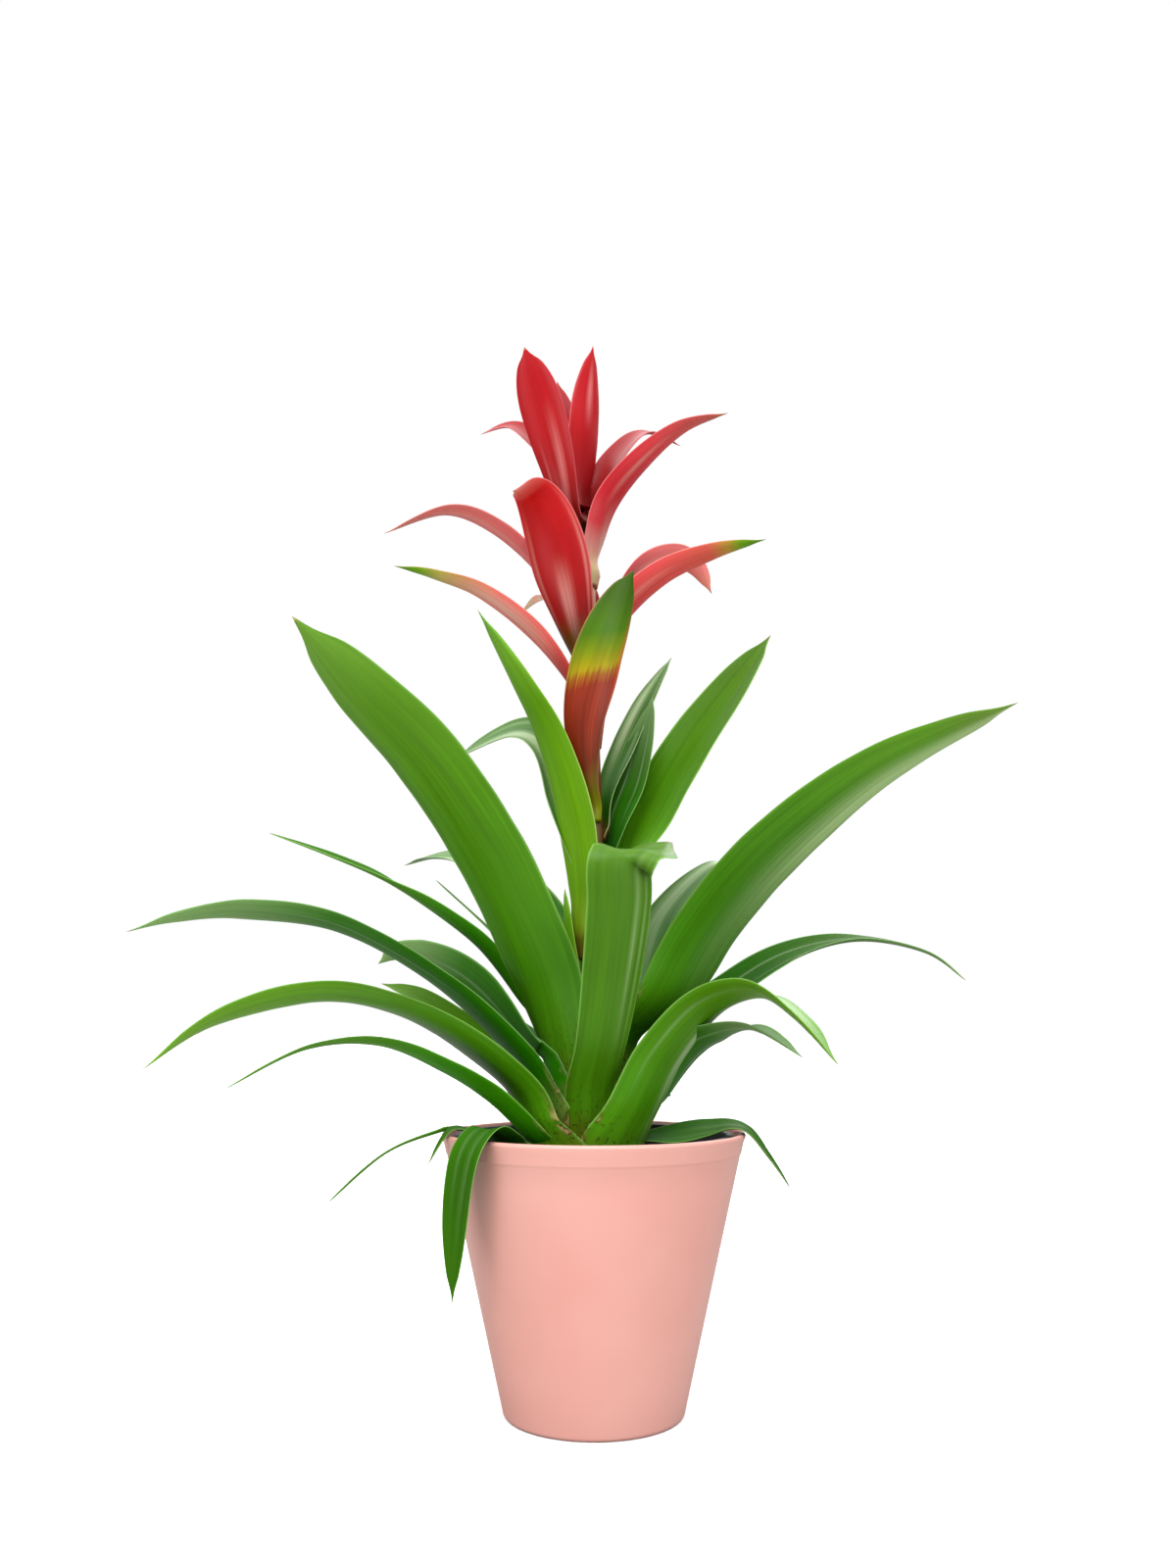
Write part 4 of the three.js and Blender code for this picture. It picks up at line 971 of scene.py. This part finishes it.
# %% Bract finishes and bracts
RED_GLOW = (1.0, 0.3, 0.3)
CRIMSON = dict(
    outer=[(0.0, "#4a4418"), (0.1, "#3c1008"), (0.22, "#6c0604"), (0.38, "#920a0e"), (0.62, "#a80612"),
           (0.86, "#ac0814"), (1, "#b01c20")],
    inner=[(0.0, "#5a2018"), (0.15, "#7c0a0a"), (0.6, "#8a0c12"), (1, "#9c1a20")],
    margin="#c85058", dry="#7a5a2a", streak=0.6, roughness=0.33, glow_radius=RED_GLOW,
)
GREEN_TIPPED = dict(
    outer=[(0.0, "#8a9a4a"), (0.12, "#b02c28"), (0.3, "#cc3c40"), (0.6, "#dc4e4e"), (0.78, "#d45a4c"),
           (0.85, "#b48a38"), (0.9, "#6c9a10"), (1, "#3a7a08")],
    inner=[(0.0, "#8a3a34"), (0.15, "#b01a20"), (0.66, "#b4242a"), (0.8, "#b47a24"), (0.88, "#7c9a10"),
           (1, "#3a7a08")],
    margin="#e89a94", dry="#5a5a2a", streak=0.6, glow_radius=(1.0, 0.4, 0.3), fray=0.025, highlight_colour="#f2b4a8",
)
FADED_PINKS = [(0.0, "#c0988a"), (0.3, "#e4a09c"), (0.7, "#ecb8ac"), (1, "#c8bc98")]
# The highlight bands of the bracts are painted highlights: the glare on their waxy faces, set into the
# colour.
BRACT_FINISHES = {
    "crimson": blade_finish("crimson_bract", **CRIMSON),
    "top": blade_finish(
        "top_bract", **CRIMSON, highlight_colour="#dc8f8c",
        highlight_bands=[(0.3, 0.32, 0.1, 0.78, 0.55), (-0.5, 0.12, 0.1, 0.6, 0.3)]),
    "crown": blade_finish(
        "crown_bract", **CRIMSON, highlight_colour="#dc9090", highlight_bands=[(0.1, 0.34, 0.58, 0.98, 0.6)]),
    "front": blade_finish(
        "broad_front_bract",
        outer=[(0.0, "#6a6a20"), (0.1, "#5a4a08"), (0.2, "#573600"), (0.3, "#840c08"), (0.45, "#9a0a0c"),
               (0.65, "#a8040c"), (0.86, "#c4080e"), (0.91, "#e05650"), (1, "#f4a098")],
        inner=[(0.0, "#5a2018"), (0.15, "#8a0e0e"), (0.6, "#a00c14"), (1, "#b83a34")],
        margin="#d87a78", dry="#8a5a3a", streak=0.5, roughness=0.33, glow=0.12, glow_radius=RED_GLOW,
        highlight_bands=[(0.05, 0.4, 0.16, 0.6, 0.65), (-0.8, 0.14, 0.1, 0.9, 0.45), (0.84, 0.1, 0.1, 0.95, 0.4)],
        highlight_colour="#dc9a90"),
    "bright": blade_finish(
        "bright_bract",
        outer=[(0.0, "#a8a878"), (0.08, "#b09a74"), (0.18, "#b4706a"), (0.27, "#b42c32"), (0.4, "#bc1c28"),
               (0.65, "#c83840"), (0.88, "#c45a56"), (1, "#a86440")],
        inner=[(0.0, "#8a3a34"), (0.15, "#a01218"), (0.6, "#a00e16"), (1, "#b0303a")],
        margin="#e08a88", dry="#7a5a2a", streak=0.6, roughness=0.33, glow=0.12, glow_radius=RED_GLOW,
        highlight_bands=[(0.5, 0.75, -0.3, 0.42, 1.0), (-0.1, 0.3, 0.3, 0.8, 0.35)], highlight_colour="#dcc0b0"),
    "blush": blade_finish(
        "blush_bract",
        outer=[(0.0, "#9aa06a"), (0.2, "#b43438"), (0.38, "#d05a60"), (0.6, "#dc6e6e"), (0.85, "#d6726e"),
               (1, "#c88470")],
        inner=[(0.0, "#8a3a34"), (0.15, "#b01a20"), (0.6, "#a81018"), (1, "#c05a54")],
        margin="#ecaaa4", dry="#7a5a2a", streak=0.6, roughness=0.36, glow_radius=RED_GLOW,
        highlight_bands=[(0.0, 0.5, 0.2, 0.95, 0.35)], highlight_colour="#f0b8ae"),
    "green_tip": blade_finish("green_tipped_bract", **GREEN_TIPPED, highlight_bands=[(-0.1, 0.4, 0.15, 0.75, 0.3)]),
    "pale_green_tip": blade_finish(
        "pale_green_tipped_bract", **{
            **GREEN_TIPPED, "highlight_colour": "#e4c0b0",
            "outer": [(0.0, "#8a9a4a"), (0.12, "#a0241c"), (0.24, "#b83430"), (0.36, "#d85450"),
                      (0.6, "#dc5c54"), (0.72, "#cc8058"), (0.82, "#b0a048"), (0.9, "#6c9a10"),
                      (1, "#3a7a08")]},
        highlight_bands=[(0.0, 1.1, 0.2, 0.92, 0.85)]),
    "half_green": blade_finish(
        "half_green_bract",
        outer=[(0.0, "#7c8400"), (0.12, "#665404"), (0.22, "#602000"), (0.4, "#76200a"), (0.53, "#862810"),
               (0.57, "#96560c"), (0.6, "#a09000"), (0.67, "#748600"), (0.74, "#467000"), (0.88, "#3a5e00"),
               (1, "#365800")],
        inner=[(0.0, "#5a2a1a"), (0.3, "#9a2a26"), (0.6, "#a8402a"), (0.66, "#8f9a14"), (1, "#357c12")],
        margin="#b8704a", streak=1.2, glow_radius=(0.8, 0.7, 0.2), slant=-0.05, fray=0.018,
        highlight_bands=[(0.4, 0.5, 0.1, 0.62, 0.3), (1.0, 0.3, 0.4, 0.92, 0.9)], highlight_colour="#c84c34"),
    "faded": blade_finish(
        "faded_bract", outer=FADED_PINKS, inner=FADED_PINKS, margin="#ecc8c0", streak=0.6),
}
BRACT_ROWS = 60
BRACT_AROUND = 41
FIRST_BRACT_SEED = 50
for seed, row in enumerate(BRACTS, FIRST_BRACT_SEED):
    blade = {**BRACT_DEFAULTS, **row}
    bract = grow_blade(blade, BRACT_FINISHES[blade["finish"]], seed, BRACT_ROWS, BRACT_AROUND)
    stand_for(bract, blade["name"])
print("bracts grown:", len(BRACTS))

# %% [markdown]
# ## Turned pieces
# The pots and the stem are round, so each is a profile turned about its axis. A helper builds the
# mesh ring by ring, with a single point where the profile meets the axis.

# %% Turning a profile
def turned(name, profile, sides, finish, shift=lambda z: 0.0):
    """A closed mesh from a profile of (radius, height) in millimetres that starts and ends on the axis."""
    points = []
    rings = []
    for radius, height in profile:
        if radius == 0:
            rings.append([len(points)] * sides)
            points.append((shift(height) * MM, 0, height * MM))
            continue
        rings.append(list(range(len(points), len(points) + sides)))
        for k in range(sides):
            angle = math.tau * k / sides
            x = shift(height) + radius * math.cos(angle)
            points.append((x * MM, radius * math.sin(angle) * MM, height * MM))
    faces = []
    for low, high in zip(rings, rings[1:]):
        for k in range(sides):
            n = (k + 1) % sides
            corners = list(dict.fromkeys([low[k], low[n], high[n], high[k]]))
            if len(corners) > 2:
                faces.append(corners)
    mesh = bpy.data.meshes.new(name)
    mesh.from_pydata(points, [], faces)
    mesh.shade_smooth()
    mesh.materials.append(finish)
    return mesh_object(name, mesh)


def rounded(corner, radius, start, end, steps=6):
    """Points of an arc about a centre, from one angle to another, in degrees from outwards."""
    out, up = corner
    angles = [math.radians(mix(start, end, k / steps)) for k in range(steps + 1)]
    return [(out + radius * math.cos(a), up + radius * math.sin(a)) for a in angles]


# %% [markdown]
# ## Stem
# The stem is a fleshy cone at the soil and a thin scape above. Little of it shows: dull maroon
# between the leaves and pale green between the bracts.

# %% Stem
STEM_FOOT = 84.3
STEM_LEVELS = 60
STEM_SIDES = 40
CAP_DEGREES = (22, 45, 68, 90)
STEM_COLOURS = [
    (0.0, "#6a7a2a"), (0.3, "#6f8a2a"), (0.5, "#5a2a1e"), (0.66, "#8a3a2c"), (0.7, "#b8b094"),
    (0.8, "#b0a884"), (0.84, "#3a0c0a"), (1, "#3a0c0a"),
]
STEM_COLOURS_FROM = 80 * MM
STEM_COLOURS_TO = 460 * MM
STEM_GRAINS_PER_METRE = 400.0
STEM_RELIEF = 0.2 * MM

stem_finish, stem_tree, stem_shader = new_finish("fleshy_stem")
stem_place = add(stem_tree, "ShaderNodeTexCoord").outputs["Object"]
stem_height = add(stem_tree, "ShaderNodeSeparateXYZ", {0: stem_place}).outputs["Z"]
stem_share = add(stem_tree, "ShaderNodeMapRange", {
    0: stem_height, 1: STEM_COLOURS_FROM, 2: STEM_COLOURS_TO})
stem_colour = ramp_of(stem_tree, stem_share, STEM_COLOURS)
stem_grain = add(stem_tree, "ShaderNodeTexNoise", {
    "Vector": stem_place, "Scale": STEM_GRAINS_PER_METRE, "Detail": 3.0})
stem_bump = add(stem_tree, "ShaderNodeBump", {"Height": stem_grain, "Strength": 0.4, "Distance": STEM_RELIEF})
fill(stem_shader, {"Base Color": stem_colour, "Normal": stem_bump, "Roughness": 0.45})

stem_profile = [(0, STEM_FOOT)]
for level in range(STEM_LEVELS + 1):
    height = mix(STEM_FOOT, STEM_RADII[-1][0], level / STEM_LEVELS)
    stem_profile.append((stem_radius(height), height))
cap_foot, cap_radius = STEM_RADII[-1]
for degrees in CAP_DEGREES:
    rise = (STEM_TOP - cap_foot) * math.sin(math.radians(degrees))
    stem_profile.append((cap_radius * math.cos(math.radians(degrees)), cap_foot + rise))
stem = turned("stem_scape", stem_profile, STEM_SIDES, stem_finish, axis_shift)
stand_for(stem, "stem")
print("stem rings:", len(stem_profile))

# %% [markdown]
# ## Cover pot
# The cover pot is moulded in pink plastic with a satin skin. Its wall leans out by a quarter of
# its height, the rim carries a band that stands 0.3 mm proud, and the foot is rounded.
# Small radii at every edge matter, because they draw the thin highlight along the rim.

# %% Cover pot
POT_HEIGHT = 120
POT_RIM_RADIUS = 70
POT_TAPER = 0.25
POT_CORNER = 2.4
POT_WALL = 2.6
POT_FLOOR = 3
BAND_HEIGHT = 9
BAND_STEP = 0.3
POT_SIDES = 160
POT_PINKS = ("#d8998e", "#dba096")
POT_CLOUDS_PER_METRE = 18.0
POT_GRAINS_PER_METRE = 1600.0
POT_RELIEF = 0.04 * MM
POT_ROUGHNESS = 0.38
POT_INDEX = 1.49


def pot_radius(height):
    return POT_RIM_RADIUS - POT_TAPER * (POT_HEIGHT - height)


lean = math.degrees(math.atan(POT_TAPER))
corner_rise = POT_CORNER * (1 - math.cos(math.radians(90 - lean)))
corner_centre = pot_radius(corner_rise) - POT_CORNER * math.sin(math.radians(90 - lean))
band_foot = POT_HEIGHT - BAND_HEIGHT
lip = POT_WALL / 2
pot_profile = [(0, 0), (0.5 * corner_centre, 0)]
pot_profile += rounded((corner_centre, POT_CORNER), POT_CORNER, -90, -lean, 8)
pot_profile += [(pot_radius(z) - BAND_STEP * smooth(z / band_foot), z) for z in (20, 40, 60, 80, 100)]
# The step up to the band is rounded: how far above the band's foot, and how much of the step is left.
for above, left in ((-0.6, 1), (-0.2, 0.6), (0.2, 0.1), (0.7, 0)):
    pot_profile.append((pot_radius(band_foot + above) - left * BAND_STEP, band_foot + above))
pot_profile.append((pot_radius(116), 116))
pot_profile += rounded((POT_RIM_RADIUS - lip, POT_HEIGHT - lip), lip, -lean, 180 - lean, 12)
pot_profile += [(pot_radius(z) - POT_WALL, z) for z in (112, 90, 60, 30)]
pot_profile += rounded((pot_radius(POT_FLOOR) - POT_WALL - 2, POT_FLOOR + 2), 2, -lean, -90, 5)
pot_profile += [(20, POT_FLOOR), (0, POT_FLOOR)]

pot_finish, pot_tree, pot_shader = new_finish("satin_moulded_plastic")
pot_place = add(pot_tree, "ShaderNodeTexCoord").outputs["Object"]
cloud = add(pot_tree, "ShaderNodeTexNoise", {
    "Vector": pot_place, "Scale": POT_CLOUDS_PER_METRE, "Detail": 2.0})
cloud_share = add(pot_tree, "ShaderNodeMapRange", {0: cloud, 1: 0.35, 2: 0.65})
pot_colour = add(pot_tree, "ShaderNodeMix", {
    0: cloud_share, 6: linear(POT_PINKS[0]), 7: linear(POT_PINKS[1])}, data_type="RGBA")
skin = add(pot_tree, "ShaderNodeTexNoise", {
    "Vector": pot_place, "Scale": POT_GRAINS_PER_METRE, "Detail": 2.0})
pot_bump = add(pot_tree, "ShaderNodeBump", {"Height": skin, "Strength": 0.25, "Distance": POT_RELIEF})
fill(pot_shader, {
    "Base Color": pot_colour, "Normal": pot_bump, "Roughness": POT_ROUGHNESS, "IOR": POT_INDEX})
cover_pot = turned("cover_pot_shell", pot_profile, POT_SIDES, pot_finish)
stand_for(cover_pot, "cover_pot")
print("cover pot rings:", len(pot_profile))

# %% [markdown]
# ## Nursery pot
# The grower's pot is thin black plastic with a rolled lip that shows just inside the cover pot.

# %% Nursery pot
NURSERY_TOP = POT_HEIGHT - 1
NURSERY_FOOT = POT_FLOOR + 0.3
LIP_RADIUS = 64.5
LIP_HEIGHT = 6
LIP_OVERHANG = 2.3
NURSERY_WALL = 1.2
NURSERY_SIDES = 120
NURSERY_GREYS = ("#202226", "#3a3c42")
SCUFFS_PER_METRE = 120.0
SCUFF_ABOVE = 0.45
SCUFF_FULL_ABOVE = 0.7


def nursery_radius(height):
    return LIP_RADIUS - LIP_OVERHANG - POT_TAPER * (NURSERY_TOP - height)


lip_foot = NURSERY_TOP - LIP_HEIGHT
nursery_profile = [(0, NURSERY_FOOT), (20, NURSERY_FOOT)]
nursery_profile += rounded((nursery_radius(NURSERY_FOOT) - 1.5, NURSERY_FOOT + 1.5), 1.5, -90, -lean, 5)
nursery_profile += [(nursery_radius(z), z) for z in (40, 80, lip_foot - 0.3)]
nursery_profile += rounded((LIP_RADIUS - 0.7, lip_foot + 0.5), 0.5, -90, 0, 4)
nursery_profile += rounded((LIP_RADIUS - 0.9, NURSERY_TOP - 0.9), 0.9, 0, 90, 6)
nursery_inside = nursery_radius(NURSERY_TOP) - NURSERY_WALL
nursery_profile += rounded((nursery_inside + 0.6, NURSERY_TOP - 0.6), 0.6, 90, 180, 5)
nursery_profile += [(nursery_radius(z) - NURSERY_WALL, z) for z in (lip_foot, 80, 40, NURSERY_FOOT + 3)]
nursery_floor = NURSERY_FOOT + NURSERY_WALL
nursery_profile += [(nursery_radius(NURSERY_FOOT) - 2.4, nursery_floor), (0, nursery_floor)]

nursery_finish, nursery_tree, nursery_shader = new_finish("black_recycled_plastic")
nursery_place = add(nursery_tree, "ShaderNodeTexCoord").outputs["Object"]
scuff = add(nursery_tree, "ShaderNodeTexNoise", {
    "Vector": nursery_place, "Scale": SCUFFS_PER_METRE, "Detail": 4.0})
scuff_share = add(nursery_tree, "ShaderNodeMapRange", {0: scuff, 1: SCUFF_ABOVE, 2: SCUFF_FULL_ABOVE})
nursery_colour = add(nursery_tree, "ShaderNodeMix", {
    0: scuff_share, 6: linear(NURSERY_GREYS[0]), 7: linear(NURSERY_GREYS[1])}, data_type="RGBA")
fill(nursery_shader, {"Base Color": nursery_colour, "Roughness": 0.45})
nursery_pot = turned("nursery_pot_shell", nursery_profile, NURSERY_SIDES, nursery_finish)
stand_for(nursery_pot, "nursery_pot")
print("nursery pot rings:", len(nursery_profile))

# %% [markdown]
# ## Substrate
# Bromeliads grow in a loose mix of bark chips and coir. The plug fills the nursery pot to a
# centimetre below its rim. Its top is a flat turned surface, and a second node tree scatters chips
# on it: points spread over the surface, a lumpy chip on each, turned and sized at random by a fixed
# seed. The chips are made real geometry, because an exported model keeps no instances.

# %% Substrate: the plug
SOIL_TOP = NURSERY_TOP - 10
HOLE_RADIUS = 28
HOLE_DEPTH = 25
SOIL_SIDES = 96
TOP_RINGS = 12
SOIL_GAP = 0.3
CRUMBS_PER_METRE = 500.0
CRUMB_RELIEF = 0.6 * MM
BARK_BROWNS = [(0.2, "#1a110b"), (0.5, "#3a2618"), (0.8, "#5a3d26"), (1, "#7a5a3c")]
soil_foot = NURSERY_FOOT + NURSERY_WALL + SOIL_GAP
soil_rim = nursery_radius(SOIL_TOP) - NURSERY_WALL - SOIL_GAP

soil_finish, soil_tree, soil_shader = new_finish("bark_and_coir")
soil_place = add(soil_tree, "ShaderNodeTexCoord").outputs["Object"]
crumb = add(soil_tree, "ShaderNodeTexNoise", {
    "Vector": soil_place, "Scale": CRUMBS_PER_METRE, "Detail": 4.0})
chip_shade = add(soil_tree, "ShaderNodeAttribute", attribute_name="chip_shade").outputs["Fac"]
soil_shade = add(soil_tree, "ShaderNodeMath", {0: crumb, 1: chip_shade}, operation="ADD")
soil_colour = ramp_of(soil_tree, soil_shade, BARK_BROWNS)
soil_bump = add(soil_tree, "ShaderNodeBump", {"Height": crumb, "Strength": 0.8, "Distance": CRUMB_RELIEF})
fill(soil_shader, {"Base Color": soil_colour, "Normal": soil_bump, "Roughness": 0.92})

soil_profile = [(0, soil_foot), (nursery_radius(soil_foot) - NURSERY_WALL - 0.8, soil_foot)]
soil_profile += [(nursery_radius(z) - NURSERY_WALL - SOIL_GAP, z) for z in (30, 60, 90, SOIL_TOP - 2)]
for k in range(TOP_RINGS + 1):
    soil_profile.append((mix(soil_rim - 0.4, HOLE_RADIUS, k / TOP_RINGS), SOIL_TOP - 1))
soil_profile += [(HOLE_RADIUS, SOIL_TOP - HOLE_DEPTH), (0, SOIL_TOP - HOLE_DEPTH)]
soil = turned("soil_plug", soil_profile, SOIL_SIDES, soil_finish)
print("soil top at", SOIL_TOP, "mm")

# %% Substrate: a tree that scatters chips
LUMPS_PER_METRE = 700.0
CHIP_TURNS = ((0, 0, 0), (6.28, 6.28, 6.28))
CHIP_SIZES = ((0.5, 0.4, 0.25), (1.6, 1.0, 0.6))
CHIP_SHADES = (0.0, 0.45)
CHIPS_ABOVE = SOIL_TOP - 1.5

chip_tree, chip_sockets = new_tree("scatter_chips", [
    ("Plug", "NodeSocketGeometry", None),
    ("Chips per square metre", "NodeSocketFloat", 130000.0),
    ("Chip size", "NodeSocketFloat", 0.0016),
    ("Lowest", "NodeSocketFloat", 0.1),
    ("Seed", "NodeSocketInt", 7),
    ("Finish", "NodeSocketMaterial", None),
], "Soil")
asked = add(chip_tree, "NodeGroupInput").outputs
soil_spot = add(chip_tree, "GeometryNodeInputPosition")
soil_height = add(chip_tree, "ShaderNodeSeparateXYZ", {0: soil_spot}).outputs["Z"]
on_top = add(chip_tree, "FunctionNodeCompare", {
    0: soil_height, 1: asked["Lowest"]}, operation="GREATER_THAN")
spread = add(chip_tree, "GeometryNodeDistributePointsOnFaces", {
    "Mesh": asked["Plug"], "Selection": on_top, "Density": asked["Chips per square metre"],
    "Seed": asked["Seed"]})
ball = add(chip_tree, "GeometryNodeMeshIcoSphere", {"Radius": asked["Chip size"], "Subdivisions": 1})
ball_spot = add(chip_tree, "GeometryNodeInputPosition")
lump = add(chip_tree, "ShaderNodeTexNoise", {"Vector": ball_spot, "Scale": LUMPS_PER_METRE})
lump = add(chip_tree, "ShaderNodeMath", {0: lump, 1: 1.2, 2: 0.4}, operation="MULTIPLY_ADD")
lumpy = add(chip_tree, "ShaderNodeVectorMath", {0: ball_spot, "Scale": lump}, operation="SCALE")
chip = add(chip_tree, "GeometryNodeSetPosition", {"Geometry": ball, "Position": lumpy})
turn_by = add(chip_tree, "FunctionNodeRandomValue", {
    0: CHIP_TURNS[0], 1: CHIP_TURNS[1], "Seed": 3}, data_type="FLOAT_VECTOR")
size_by = add(chip_tree, "FunctionNodeRandomValue", {
    0: CHIP_SIZES[0], 1: CHIP_SIZES[1], "Seed": 4}, data_type="FLOAT_VECTOR")
chips = add(chip_tree, "GeometryNodeInstanceOnPoints", {
    "Points": spread, "Instance": chip, "Rotation": turn_by, "Scale": size_by})
shade_by = add(chip_tree, "FunctionNodeRandomValue", {
    2: CHIP_SHADES[0], 3: CHIP_SHADES[1], "Seed": 5}, data_type="FLOAT")
chips = add(chip_tree, "GeometryNodeStoreNamedAttribute", {
    "Geometry": chips, "Name": "chip_shade", "Value": shade_by}, data_type="FLOAT", domain="INSTANCE")
# The plug and its chips go into one and the same input.
both = add(chip_tree, "GeometryNodeJoinGeometry", {0: asked["Plug"]})
fill(both, {0: chips})
whole = add(chip_tree, "GeometryNodeRealizeInstances", {"Geometry": both})
whole = add(chip_tree, "GeometryNodeSetMaterial", {"Geometry": whole, "Material": asked["Finish"]})
add(chip_tree, "NodeGroupOutput", {0: whole})

scatter = soil.modifiers.new("scatter", "NODES")
scatter.node_group = chip_tree
scatter[chip_sockets["Lowest"]] = CHIPS_ABOVE * MM
scatter[chip_sockets["Finish"]] = soil_finish
soil_mesh = plain_mesh(soil, "substrate_bark")
substrate = mesh_object("substrate_bark", soil_mesh)
stand_for(substrate, "substrate")
print("triangles in the substrate:", sum(len(p.vertices) - 2 for p in soil_mesh.polygons))
